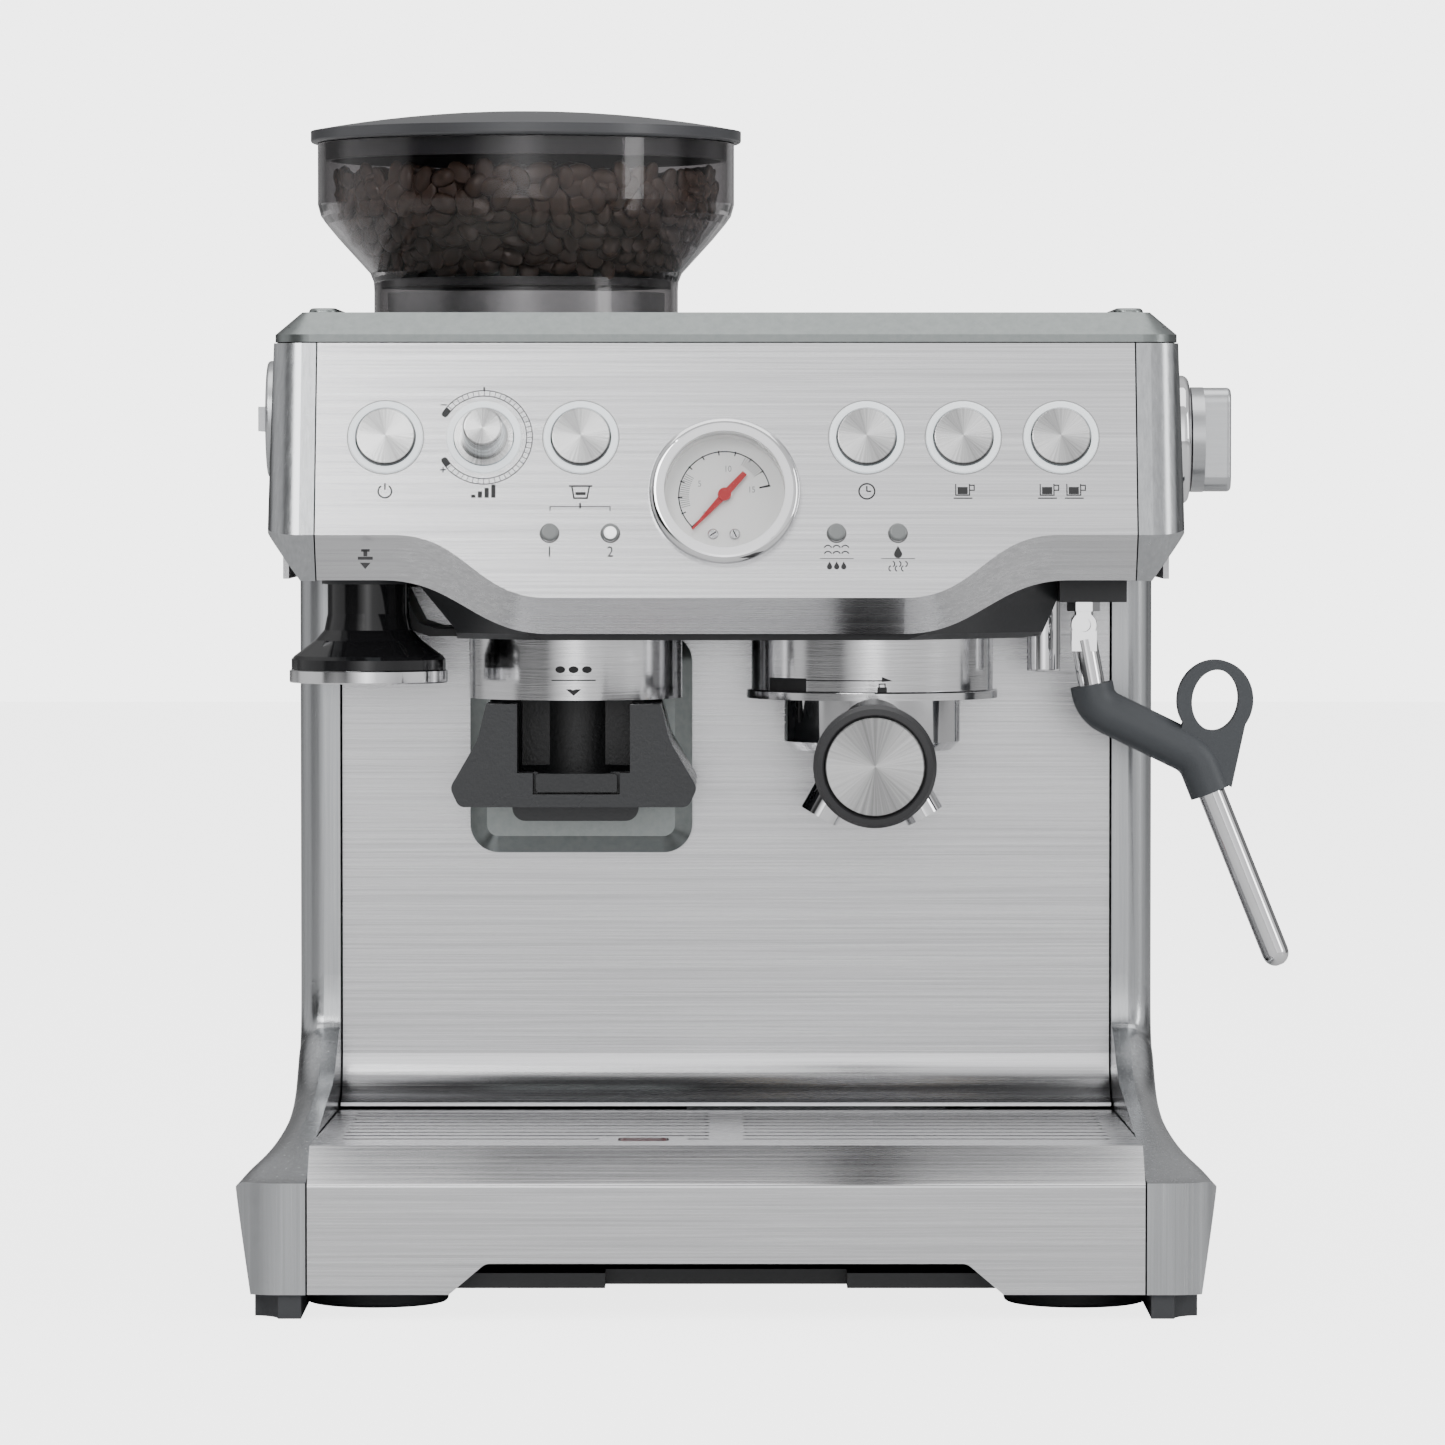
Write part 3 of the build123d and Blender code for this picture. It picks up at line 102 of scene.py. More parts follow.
def principled(name):
    """A new material and its Principled shader."""
    mat = bpy.data.materials.new(name)
    mat.use_nodes = True
    return mat, mat.node_tree.nodes["Principled BSDF"]


def bump_from(mat, shader, height, strength, distance):
    """Feed a height into the shader's normal."""
    bump = mat.node_tree.nodes.new("ShaderNodeBump")
    bump.inputs["Strength"].default_value = strength
    bump.inputs["Distance"].default_value = distance
    mat.node_tree.links.new(height, bump.inputs["Height"])
    mat.node_tree.links.new(bump.outputs["Normal"], shader.inputs["Normal"])


def place_effect(mat, shader, group, colours, roughness):
    """Place a shared effect in a material and let it feed the colour and the roughness."""
    effect = mat.node_tree.nodes.new("ShaderNodeGroup")
    effect.node_tree = group
    for label, colour in zip(("Dark", "Pale"), colours):
        effect.inputs[label].default_value = (*colour, 1)
    for label, value in zip(("Low", "High"), roughness):
        effect.inputs[label].default_value = value
    mat.node_tree.links.new(effect.outputs["Color"], shader.inputs["Base Color"])
    mat.node_tree.links.new(effect.outputs["Roughness"], shader.inputs["Roughness"])
    return effect


GRAIN_DEPTH = 0.0002


def moulded(name, dark, pale, low, high, grain=900.0, strength=0.25):
    """Moulded plastic or rubber with grain."""
    mat, shader = principled(name)
    effect = place_effect(mat, shader, MOULD_GRAIN, (dark, pale), (low, high))
    effect.inputs["Size"].default_value = grain
    bump_from(mat, shader, effect.outputs["Height"], strength, GRAIN_DEPTH)
    return mat


def finish_node(node, mat):
    """Give a CAD node its material."""
    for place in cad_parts[node].material_slots:
        place.material = mat


black_abs = moulded("black_abs", (0.022, 0.023, 0.025), (0.035, 0.036, 0.039), 0.38, 0.52)
for node in ("chassis", "tray_bin", "head_floor", "hopper_shutter", "rear_fittings"):
    finish_node(node, black_abs)

cradle_black = moulded("cradle_black", (0.018, 0.019, 0.021), (0.03, 0.032, 0.035), 0.22, 0.34)
finish_node("grind_cradle", cradle_black)


# ---- feet --------------------------------------------------------------------
# Soft grey-black rubber pads under the floor and boots under the two flared front corners.

foot_rubber = moulded("foot_rubber", (0.035, 0.037, 0.041), (0.06, 0.063, 0.068), 0.55, 0.75, 700.0)
finish_node("feet", foot_rubber)


# ---- side castings and head corners ------------------------------------------
# The columns with their flared wings and the two corners of the head are zinc castings. They are
# brushed along their length and clear lacquered, so highlights run up and down them.

def brush_group():
    """Brushing: streaks drawn out along one direction, for colour, roughness and height."""
    group, start, end = node_group(
        "brushing",
        [("Stretch", "NodeSocketVector", (6.0, 900.0, 900.0)), ("Dark", "NodeSocketColor", None),
         ("Pale", "NodeSocketColor", None), ("Low", "NodeSocketFloat", 0.25),
         ("High", "NodeSocketFloat", 0.4)],
        [("Color", "NodeSocketColor"), ("Roughness", "NodeSocketFloat"),
         ("Height", "NodeSocketFloat")],
    )
    place = group.nodes.new("ShaderNodeTexCoord")
    scale = group.nodes.new("ShaderNodeVectorMath")
    scale.operation = "MULTIPLY"
    streak = group.nodes.new("ShaderNodeTexNoise")
    streak.inputs["Scale"].default_value = 1.0
    streak.inputs["Detail"].default_value = 5.0
    streak.inputs["Roughness"].default_value = 0.65
    cloud = group.nodes.new("ShaderNodeTexNoise")
    cloud.inputs["Scale"].default_value = 9.0
    tint = group.nodes.new("ShaderNodeMix")
    tint.data_type = "RGBA"
    contrast = group.nodes.new("ShaderNodeMapRange")
    contrast.inputs["From Min"].default_value = 0.32
    contrast.inputs["From Max"].default_value = 0.68
    both = group.nodes.new("ShaderNodeMath")
    both.operation = "MULTIPLY_ADD"
    both.inputs[1].default_value = 0.25
    rough = group.nodes.new("ShaderNodeMapRange")
    link = group.links.new
    link(place.outputs["Object"], scale.inputs[0])
    link(start.outputs["Stretch"], scale.inputs[1])
    link(scale.outputs[0], streak.inputs["Vector"])
    link(place.outputs["Object"], cloud.inputs["Vector"])
    link(streak.outputs["Fac"], contrast.inputs["Value"])
    link(contrast.outputs[0], tint.inputs[0])
    link(start.outputs["Dark"], tint.inputs[6])
    link(start.outputs["Pale"], tint.inputs[7])
    link(cloud.outputs["Fac"], both.inputs[0])
    link(streak.outputs["Fac"], both.inputs[2])
    link(both.outputs[0], rough.inputs["Value"])
    rough.inputs["From Min"].default_value = 0.35
    rough.inputs["From Max"].default_value = 0.95
    link(start.outputs["Low"], rough.inputs["To Min"])
    link(start.outputs["High"], rough.inputs["To Max"])
    link(tint.outputs[2], end.inputs["Color"])
    link(rough.outputs[0], end.inputs["Roughness"])
    link(streak.outputs["Fac"], end.inputs["Height"])
    return group


BRUSHING = brush_group()
STROKE_DEPTH = 0.0003


def brushed(name, dark, pale, low, high, stretch, strength=0.08):
    """Brushed metal; stretch is small along the strokes and large across them."""
    mat, shader = principled(name)
    shader.inputs["Metallic"].default_value = 1.0
    effect = place_effect(mat, shader, BRUSHING, (dark, pale), (low, high))
    effect.inputs["Stretch"].default_value = stretch
    bump_from(mat, shader, effect.outputs["Height"], strength, STROKE_DEPTH)
    return mat


cast_metal = brushed("cast_metal", (0.40, 0.41, 0.42), (0.49, 0.50, 0.51), 0.20, 0.30,
                     (900.0, 700.0, 9.0), 0.015)
for node in ("side_castings", "head_corners"):
    finish_node(node, cast_metal)


# ---- steel sheet -------------------------------------------------------------
# The splash panel, tray fascia, control panel, side panels, cup plate and grid are 18/8 stainless
# sheet, linished from side to side and then pressed.

steel_sheet = brushed("steel_sheet", (0.52, 0.52, 0.53), (0.70, 0.70, 0.71), 0.20, 0.32,
                      (7.0, 1100.0, 1100.0), 0.10)
for node in ("splash_panel", "tray_front", "front_panel", "drip_grid", "cup_plate"):
    finish_node(node, steel_sheet)

side_sheet = brushed("side_sheet", (0.55, 0.55, 0.56), (0.70, 0.70, 0.71), 0.28, 0.42,
                     (1100.0, 7.0, 1100.0), 0.10)
finish_node("head_sides", side_sheet)


# ---- top cover and grinder outlet surround -----------------------------------
# The cover, the tank lid and the surround behind the cradle are moulded and sprayed satin silver.

satin_silver = brushed("satin_silver", (0.23, 0.25, 0.245), (0.28, 0.30, 0.295), 0.28, 0.36,
                       (300.0, 300.0, 300.0), 0.03)
for node in ("top_cover", "tank_lid", "outlet_bezel"):
    finish_node(node, satin_silver)


# ---- polished fittings -------------------------------------------------------
# Collars, portafilter, spouts, bezels and the wand are steel or brass, polished and chromed.

chrome = brushed("chrome", (0.78, 0.78, 0.79), (0.84, 0.84, 0.85), 0.04, 0.09,
                 (40.0, 40.0, 40.0), 0.0)
for node in ("gauge_bezel", "steam_bezel", "portafilter_body", "portafilter_spouts",
             "filter_basket", "wand_ball", "wand_tube", "spout_and_nut", "tamper_foot"):
    finish_node(node, chrome)

collar_steel = brushed("collar_steel", (0.72, 0.72, 0.73), (0.82, 0.82, 0.83), 0.10, 0.18,
                       (40.0, 40.0, 1200.0), 0.04)
for node in ("group_collar", "grinder_collar"):
    finish_node(node, collar_steel)


# ---- spun buttons, knob and handle cap ---------------------------------------
# The button caps and the disc in the handle are faced on a lathe: the cutter leaves fine rings.
# Their colour carries a painted reflection in fans of light and dark, and painted shade at the rim.

def spun_painted_light(name, centre, lean, painted_shade_edge, fans=2.0, phase=0.4):
    """Spun metal: rings about a centre, painted fans of reflection and painted shade on the bevel.
    """
    mat, shader = principled(name)
    nodes, link = mat.node_tree.nodes, mat.node_tree.links.new
    shader.inputs["Metallic"].default_value = 1.0
    place = nodes.new("ShaderNodeTexCoord")
    move = nodes.new("ShaderNodeVectorMath")
    move.operation = "SUBTRACT"
    move.inputs[1].default_value = centre
    turn = nodes.new("ShaderNodeVectorRotate")
    turn.rotation_type = "X_AXIS"
    turn.inputs["Angle"].default_value = -math.radians(90.0) + lean
    # painted reflection: fans of light and dark by angle round the centre, set into the base colour
    angle = nodes.new("ShaderNodeTexGradient")
    angle.gradient_type = "RADIAL"
    wave = nodes.new("ShaderNodeMath")
    wave.operation = "MULTIPLY_ADD"
    wave.inputs[1].default_value = 2 * math.pi * fans
    wave.inputs[2].default_value = phase
    sine = nodes.new("ShaderNodeMath")
    sine.operation = "SINE"
    painted_rays = nodes.new("ShaderNodeTexNoise")
    painted_rays.noise_dimensions = "1D"
    painted_rays.inputs["Scale"].default_value = 70.0
    painted_rays.inputs["Detail"].default_value = 3.0
    painted_fans = nodes.new("ShaderNodeMath")
    painted_fans.operation = "MULTIPLY_ADD"
    painted_fans.inputs[1].default_value = 0.55
    # the painted fans, spread over the base colour's range from dark to pale
    tint = nodes.new("ShaderNodeMapRange")
    tint.inputs["From Min"].default_value = -0.45
    tint.inputs["From Max"].default_value = 1.15
    tint.inputs["To Min"].default_value = 0.20
    tint.inputs["To Max"].default_value = 0.78
    rings = nodes.new("ShaderNodeTexWave")
    rings.wave_type = "RINGS"
    rings.rings_direction = "Z"
    rings.inputs["Scale"].default_value = 900.0
    rings.inputs["Distortion"].default_value = 0.6
    link(place.outputs["Object"], move.inputs[0])
    link(move.outputs[0], turn.inputs["Vector"])
    link(turn.outputs[0], angle.inputs["Vector"])
    link(angle.outputs["Fac"], wave.inputs[0])
    link(wave.outputs[0], sine.inputs[0])
    link(angle.outputs["Fac"], painted_rays.inputs["W"])
    link(sine.outputs[0], painted_fans.inputs[0])
    link(painted_rays.outputs["Fac"], painted_fans.inputs[2])
    link(painted_fans.outputs[0], tint.inputs["Value"])
    flat = nodes.new("ShaderNodeVectorMath")
    flat.operation = "MULTIPLY"
    flat.inputs[1].default_value = (1.0, 1.0, 0.0)
    span = nodes.new("ShaderNodeVectorMath")
    span.operation = "LENGTH"
    # painted shade: the base colour falls to a thin dark ring at the rim of the cap's bevel
    rim = nodes.new("ShaderNodeMapRange")
    rim.inputs["From Min"].default_value = painted_shade_edge - 0.0004
    rim.inputs["From Max"].default_value = painted_shade_edge
    rim.inputs["To Min"].default_value = 1.0
    rim.inputs["To Max"].default_value = 0.18
    shade = nodes.new("ShaderNodeMath")
    shade.operation = "MULTIPLY"
    link(turn.outputs[0], flat.inputs[0])
    link(flat.outputs[0], span.inputs[0])
    link(span.outputs["Value"], rim.inputs["Value"])
    link(tint.outputs[0], shade.inputs[0])
    link(rim.outputs[0], shade.inputs[1])
    link(shade.outputs[0], shader.inputs["Base Color"])
    link(turn.outputs[0], rings.inputs["Vector"])
    rough = nodes.new("ShaderNodeMapRange")
    rough.inputs["To Min"].default_value = 0.22
    rough.inputs["To Max"].default_value = 0.34
    link(rings.outputs["Fac"], rough.inputs["Value"])
    link(rough.outputs[0], shader.inputs["Roughness"])
    bump_from(mat, shader, rings.outputs["Fac"], 0.05, 0.0002)
    return mat


LEAN = math.radians(16.0)      # the control panel leans back by this much
PANEL_Y, PANEL_Z = -0.136, 0.240      # a point on its face
PANEL_OUT = Vector((0.0, -math.cos(LEAN), math.sin(LEAN)))
PANEL_UP = Vector((0.0, math.sin(LEAN), math.cos(LEAN)))


def middle(node):
    """Centre of a CAD node's box."""
    low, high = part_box(node)
    return (Vector(low) + Vector(high)) / 2


BUTTON_X = {"power": -0.1130, "filter": -0.0482, "program": 0.0466, "one_cup": 0.0787,
            "two_cup": 0.1111}
CONTROL_Z = 0.2892
for name in BUTTON_X:
    node = name + "_button"
    finish_node(node, spun_painted_light("spun_" + node, middle(node), LEAN, 0.0097))
finish_node("grip_cap", spun_painted_light("spun_cap", middle("grip_cap"), 0.0, 0.0160, 2.0, 1.2))
knob_metal = spun_painted_light("spun_knob", middle("grind_amount_knob"), LEAN, 0.0118, 2.0, 2.2)
finish_node("grind_amount_knob", knob_metal)

side_knob = brushed("side_knob", (0.50, 0.51, 0.52), (0.58, 0.59, 0.60), 0.26, 0.34,
                    (30.0, 600.0, 600.0), 0.04)
for node in ("steam_knob", "grind_size_dial"):
    finish_node(node, side_knob)


# ---- light rings and lamps ---------------------------------------------------
# A frosted polycarbonate ring, lit from behind, shows round each control. The four small lamps
# are clear domes: one is lit.

def frosted(name, colour, glow, strength):
    """Frosted plastic lit from behind."""
    mat, shader = principled(name)
    shader.inputs["Base Color"].default_value = (*colour, 1)
    shader.inputs["Roughness"].default_value = 0.3
    shader.inputs["Coat Weight"].default_value = 0.4
    place = mat.node_tree.nodes.new("ShaderNodeTexCoord")
    cloud = mat.node_tree.nodes.new("ShaderNodeTexNoise")
    cloud.inputs["Scale"].default_value = 60.0
    mix = mat.node_tree.nodes.new("ShaderNodeMix")
    mix.data_type = "RGBA"
    mix.inputs[6].default_value = (*glow, 1)
    mix.inputs[7].default_value = (1.0, 1.0, 1.0, 1)
    link = mat.node_tree.links.new
    link(place.outputs["Object"], cloud.inputs["Vector"])
    link(cloud.outputs["Fac"], mix.inputs[0])
    link(mix.outputs[2], shader.inputs["Emission Color"])
    shader.inputs["Emission Strength"].default_value = strength
    return mat


finish_node("light_rings", frosted("ring_glow", (0.92, 0.95, 0.97), (0.72, 0.90, 1.0), 0.55))
finish_node("led_lenses", frosted("lamp_lens", (0.20, 0.21, 0.21), (0.5, 0.5, 0.5), 0.0))
lit_lens = frosted("lit_lens", (0.95, 0.96, 0.97), (1.0, 1.0, 1.0), 1.2)


# ---- pressure gauge ----------------------------------------------------------
# A white moulded dial carries a printed scale. The pointer is sprayed red, and two small screws
# hold the dial. A clear lens snaps in under the polished bezel.

dial_white = moulded("dial_white", (0.86, 0.86, 0.85), (0.92, 0.92, 0.91), 0.35, 0.5, 1500.0, 0.05)
finish_node("gauge_dial", dial_white)

needle_red = moulded("needle_red", (0.42, 0.006, 0.012), (0.50, 0.010, 0.016), 0.25, 0.35,
                     strength=0.05)
for node in ("gauge_needle", "tray_float"):
    finish_node(node, needle_red)


def clear_plastic(name, dark, pale, low, high, ior):
    """Clear moulding with a trace of haze; returns the material and its shader."""
    mat, shader = principled(name)
    place_effect(mat, shader, MOULD_GRAIN, (dark, pale), (low, high))
    shader.inputs["Transmission Weight"].default_value = 1.0
    shader.inputs["IOR"].default_value = ior
    return mat, shader


lens_clear = clear_plastic("lens_clear", (0.98, 0.98, 0.98), (1, 1, 1), 0.0, 0.012, 1.03)[0]
finish_node("gauge_lens", lens_clear)

ink = moulded("ink", (0.012, 0.012, 0.013), (0.02, 0.02, 0.022), 0.45, 0.6, 900.0, 0.0)
lamp_seat = moulded("lamp_seat", (0.10, 0.10, 0.10), (0.14, 0.14, 0.14), 0.3, 0.4, 900.0, 0.0)
# grey print for the dial; the same grey is also the painted shade in the gap round each light ring
grey_ink_and_gap_shade = moulded("grey_ink_and_gap_shade", (0.30, 0.30, 0.30), (0.36, 0.36, 0.36), 0.45, 0.6, 900.0, 0.0)


def mesh_piece(name, verts, faces, mat, body, smooth=False):
    """A new mesh object that rides on a body."""
    mesh = bpy.data.meshes.new(name)
    mesh.from_pydata(verts, [], faces)
    shape = bmesh.new()
    shape.from_mesh(mesh)
    bmesh.ops.remove_doubles(shape, verts=shape.verts, dist=1e-7)
    bmesh.ops.dissolve_degenerate(shape, edges=shape.edges, dist=1e-7)
    shape.to_mesh(mesh)
    shape.free()
    mesh.validate()
    mesh.update()
    obj = bpy.data.objects.new(name, mesh)
    bpy.context.scene.collection.objects.link(obj)
    obj.data.materials.append(mat)
    if smooth:
        mesh.polygons.foreach_set("use_smooth", [True] * len(mesh.polygons))
    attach(obj, body)
    return obj


def at_control(x, z):
    """The point on the panel's surface at an X and a height."""
    return Vector((x, PANEL_Y + (z - PANEL_Z) * math.tan(LEAN), z))


def ring_faces(rings, rim, base=0):
    """Faces between stacked rings of corners."""
    faces = []
    for i in range(rings - 1):
        for j in range(rim):
            a, b = base + i * rim + j, base + i * rim + (j + 1) % rim
            faces.append((a, b, b + rim, a + rim))
    return faces


def panel_point(origin, x, up, out):
    """A point on or above the leaning panel, from the middle of a control."""
    return origin + Vector((x, 0, 0)) + PANEL_UP * up + PANEL_OUT * out


INK_LOW, INK_THICK = 0.00002, 0.00006


def arc_strip(r_in, r_out, start, end, height, thick=INK_THICK, steps=None):
    """Corners and faces of a thin flat arc in (x, up, out); angles in degrees, anticlockwise."""
    steps = steps or max(1, int(abs(end - start) / 4))
    verts, faces = [], []
    for k in range(steps + 1):
        a = math.radians(start + (end - start) * k / steps)
        for r in (r_in, r_out):
            for out in (height, height + thick):
                verts.append((r * math.cos(a), r * math.sin(a), out))
    for k in range(steps):
        a, b = 4 * k, 4 * k + 4
        faces += [(a + 1, a + 3, b + 3, b + 1), (a, b, b + 2, a + 2),
                  (a, a + 1, b + 1, b), (a + 2, b + 2, b + 3, a + 3)]
    if abs(end - start) < 360:
        faces += [(0, 2, 3, 1), (4 * steps, 4 * steps + 1, 4 * steps + 3, 4 * steps + 2)]
    return verts, faces


def patch(corners, height=INK_LOW, thick=INK_THICK):
    """A flat patch through a list of (x, up) corners, anticlockwise."""
    n = len(corners)
    verts = [(x, u, o) for o in (height, height + thick) for x, u in corners]
    faces = [tuple(range(n - 1, -1, -1)), tuple(range(n, 2 * n))]
    faces += [(k, (k + 1) % n, n + (k + 1) % n, n + k) for k in range(n)]
    return verts, faces


def print_on_panel(name, origin, strips, mat, body="machine", grow=1.0):
    """Join flat strips into one printed piece on the leaning panel."""
    verts, faces = [], []
    for strip_verts, strip_faces in strips:
        base = len(verts)
        verts += [panel_point(origin, x * grow, up * grow, out) for x, up, out in strip_verts]
        faces += [tuple(base + k for k in face) for face in strip_faces]
    return mesh_piece(name, verts, faces, mat, body)


def turned(origin, x, up, lift, profile, rim, closed=True):
    """A small turned piece on the panel, from (radius, out) steps."""
    verts = []
    for r, out in profile:
        for j in range(rim):
            a = 2 * math.pi * j / rim
            verts.append(panel_point(origin, x + r * math.cos(a), up + r * math.sin(a), lift + out))
    rings = len(profile)
    faces = ring_faces(rings, rim) + [tuple(range((rings - 1) * rim, rings * rim))]
    if closed:
        faces.append(tuple(range(rim - 1, -1, -1)))
    return verts, faces


GAUGE = at_control(-0.0005, 0.2709)


def reach_out(node, origin, radius):
    """How far a node stands out from the panel within a radius of a point."""
    reach = []
    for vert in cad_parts[node].data.vertices:
        away = Vector(vert.co) - origin
        out = away.dot(PANEL_OUT)
        if (away - PANEL_OUT * out).length < radius:
            reach.append(out)
    return max(reach)


DIAL_OUT = reach_out("gauge_dial", GAUGE, 0.016) + 0.00002
SCALE_R, FINE_R, NUMBER_R = 0.0154, 0.0118, 0.0092

scale_strips = [arc_strip(SCALE_R - 0.0004, SCALE_R, 12.5, 225, DIAL_OUT)]
for k in range(11):
    at = 225 - k * 21.25
    deep = 0.0022 if k in (0, 10) else 0.0014
    tick = arc_strip(SCALE_R - deep, SCALE_R + 0.0002, at - 0.8, at + 0.8, DIAL_OUT, steps=1)
    scale_strips.append(tick)
scale_strips.append(arc_strip(SCALE_R - 0.004, SCALE_R, 224.0, 226.5, DIAL_OUT, steps=1))
scale_strips.append(arc_strip(SCALE_R - 0.0036, SCALE_R, 12.0, 14.5, DIAL_OUT, steps=1))
print_on_panel("gauge_scale", GAUGE, scale_strips, ink)

fine_strips = []
for first, last, count in ((196, 150, 16), (62, 34, 10)):
    for k in range(count):
        at = first + (last - first) * k / (count - 1)
        tick = arc_strip(FINE_R, SCALE_R - 0.0006, at - 0.5, at + 0.5, DIAL_OUT, steps=1)
        fine_strips.append(tick)
print_on_panel("gauge_fine_scale", GAUGE, fine_strips, grey_ink_and_gap_shade)

screw_metal = brushed("screw_metal", (0.45, 0.45, 0.46), (0.6, 0.6, 0.61), 0.2, 0.3, (500.0,) * 3)
SCREW_UP, SCREW_HEAD = -0.0133, 0.0008
screw_profile = ((0.0018, 0.0), (0.0018, 0.0005), (0.0014, SCREW_HEAD))
SLOT_HALF_L, SLOT_HALF_W = 0.00125, 0.00022
for k, (x, turn) in enumerate(((-0.0038, 0.6), (0.0034, 2.0))):
    verts, faces = turned(GAUGE, x, SCREW_UP, DIAL_OUT, screw_profile, 18, closed=False)
    mesh_piece(f"dial_screw_{k}", verts, faces, screw_metal, "machine")
    c, s = math.cos(turn), math.sin(turn)
    slot = patch([(x + u * c - v * s, SCREW_UP + u * s + v * c)
                  for u, v in ((-SLOT_HALF_L, -SLOT_HALF_W), (SLOT_HALF_L, -SLOT_HALF_W),
                               (SLOT_HALF_L, SLOT_HALF_W), (-SLOT_HALF_L, SLOT_HALF_W))],
                 DIAL_OUT + SCREW_HEAD)
    print_on_panel(f"dial_screw_slot_{k}", GAUGE, [slot], ink)


def numeral(name, digits, place, size, mat):
    """Digits lying on the leaning panel or dial, centred on a point."""
    curve = bpy.data.curves.new(name, "FONT")
    curve.body = digits
    curve.size = size
    curve.align_x = "CENTER"
    curve.align_y = "CENTER"
    curve.extrude = 0.00002
    obj = bpy.data.objects.new(name, curve)
    bpy.context.scene.collection.objects.link(obj)
    obj.matrix_world = Matrix.Translation(place + PANEL_OUT * 0.00005) @ \
        Matrix.Rotation(math.radians(90) - LEAN, 4, "X") @ Matrix.Diagonal((0.85, 1.0, 1.0, 1.0))
    curve.materials.append(mat)
    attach(obj, "machine")
    return obj


for k, digits in enumerate(("0", "5", "10", "15")):
    at = math.radians(225 - k * 212.5 / 3)
    place = panel_point(GAUGE, NUMBER_R * math.cos(at), NUMBER_R * math.sin(at), DIAL_OUT)
    numeral(f"dial_number_{k}", digits, place, 0.0030, grey_ink_and_gap_shade)

hub_out = reach_out("gauge_needle", GAUGE, 0.002) + 0.0001
hub_profile = ((0.0023, 0.0), (0.0023, 0.0004), (0.0018, 0.0007), (0.0006, 0.0007),
               (0.0005, 0.0005))
hub_verts, hub_faces = turned(GAUGE, 0.0, 0.0, hub_out, hub_profile, 24)
mesh_piece("needle_hub", hub_verts, hub_faces, screw_metal, "needle")


# ---- printed marks on the panel ----------------------------------------------
# Small pictograms and numerals are screen printed in black under the controls, with a graduated
# ring round the grind knob and a bracket over the two basket lamps.

def bar(x0, x1, u0, u1):
    """A printed rectangle in (x, up, out)."""
    return patch([(x0, u0), (x1, u0), (x1, u1), (x0, u1)])


KNOB_X = -0.0804
LAMP_X, LAMP_Z = (-0.0584, -0.0383, 0.0365, 0.0568), 0.2574
MARK_Z, CUP_Z = 0.2713, 0.2716      # marks under the controls
MARK_SCALE = 1.3


def pictogram(name, x, z, strips):
    """Print a sign in black ink at an X and a height on the panel."""
    print_on_panel(name, at_control(x, z), strips, ink, grow=MARK_SCALE)


lamps = at_control((LAMP_X[0] + LAMP_X[1]) / 2, 0.2662)
bracket = [bar(-0.0101, 0.0101, -0.0001, 0.00015), bar(-0.0101, -0.00975, -0.0015, 0.0),
           bar(0.00975, 0.0101, -0.0015, 0.0), bar(-0.0003, 0.0003, -0.0006, 0.0013)]
print_on_panel("filter_bracket", lamps, bracket, ink)
for name, x in (("clean_line", LAMP_X[2]), ("water_line", LAMP_X[3])):
    print_on_panel(name, at_control(x, 0.2491), [bar(-0.0056, 0.0056, -0.0001, 0.0001)], ink)


def shifted(strip, x, up):
    """The same strip moved across the panel."""
    verts, faces = strip
    return [(v[0] + x, v[1] + up, v[2]) for v in verts], faces


def cup_strips(x):
    """Pictogram of a cup on a saucer with its handle and a line of coffee."""
    cup = [bar(-0.0022, -0.0019, -0.0011, 0.0017), bar(0.0013, 0.0016, -0.0011, 0.0017),
           bar(-0.0016, 0.0010, -0.0010, 0.0009), bar(-0.0022, 0.0016, -0.0014, -0.0011),
           bar(-0.0026, 0.0022, -0.0022, -0.0019), bar(0.0016, 0.0028, 0.0012, 0.0015),
           bar(0.0025, 0.0028, 0.0001, 0.0012), bar(0.0016, 0.0028, -0.0001, 0.0002)]
    return [shifted(strip, x, 0.0) for strip in cup]


def drop(x, up, size):
    """Pictogram of a drop of water."""
    r, middle_up = size * 0.62, up - size * 0.3
    low = [(x + r * math.cos(math.radians(a)), middle_up + r * math.sin(math.radians(a)))
           for a in range(150, 391, 20)]
    return patch(low + [(x, up + size)])


power_mark = [arc_strip(0.0015, 0.0019, 125, 415, INK_LOW), bar(-0.0002, 0.0002, 0.0004, 0.0022)]
pictogram("power_mark", BUTTON_X["power"], MARK_Z, power_mark)
dose_mark = [bar(-0.0031 + k * 0.0017, -0.0020 + k * 0.0017, -0.0017, -0.0009 + k * 0.0009)
             for k in range(4)]
pictogram("dose_mark", KNOB_X, MARK_Z, dose_mark)
basket_mark = [patch([(-0.0030, 0.0016), (-0.0030, 0.0012), (0.0030, 0.0012), (0.0030, 0.0016)]),
               patch([(-0.0024, 0.0012), (-0.0019, -0.0016), (-0.0015, -0.0016),
                      (-0.0020, 0.0012)]),
               patch([(0.0020, 0.0012), (0.0015, -0.0016), (0.0019, -0.0016),
                      (0.0024, 0.0012)]),
               bar(-0.0019, 0.0019, -0.0020, -0.0016), bar(-0.0013, 0.0013, -0.0010, -0.0002)]
pictogram("basket_mark", BUTTON_X["filter"], MARK_Z, basket_mark)
clock_mark = [arc_strip(0.0018, 0.0022, 0, 360, INK_LOW), bar(-0.00018, 0.00018, 0.0, 0.0014),
              bar(0.0, 0.0011, -0.00018, 0.00018)]
pictogram("program_mark", BUTTON_X["program"], MARK_Z, clock_mark)
pictogram("one_cup_mark", BUTTON_X["one_cup"], CUP_Z, cup_strips(0.0))
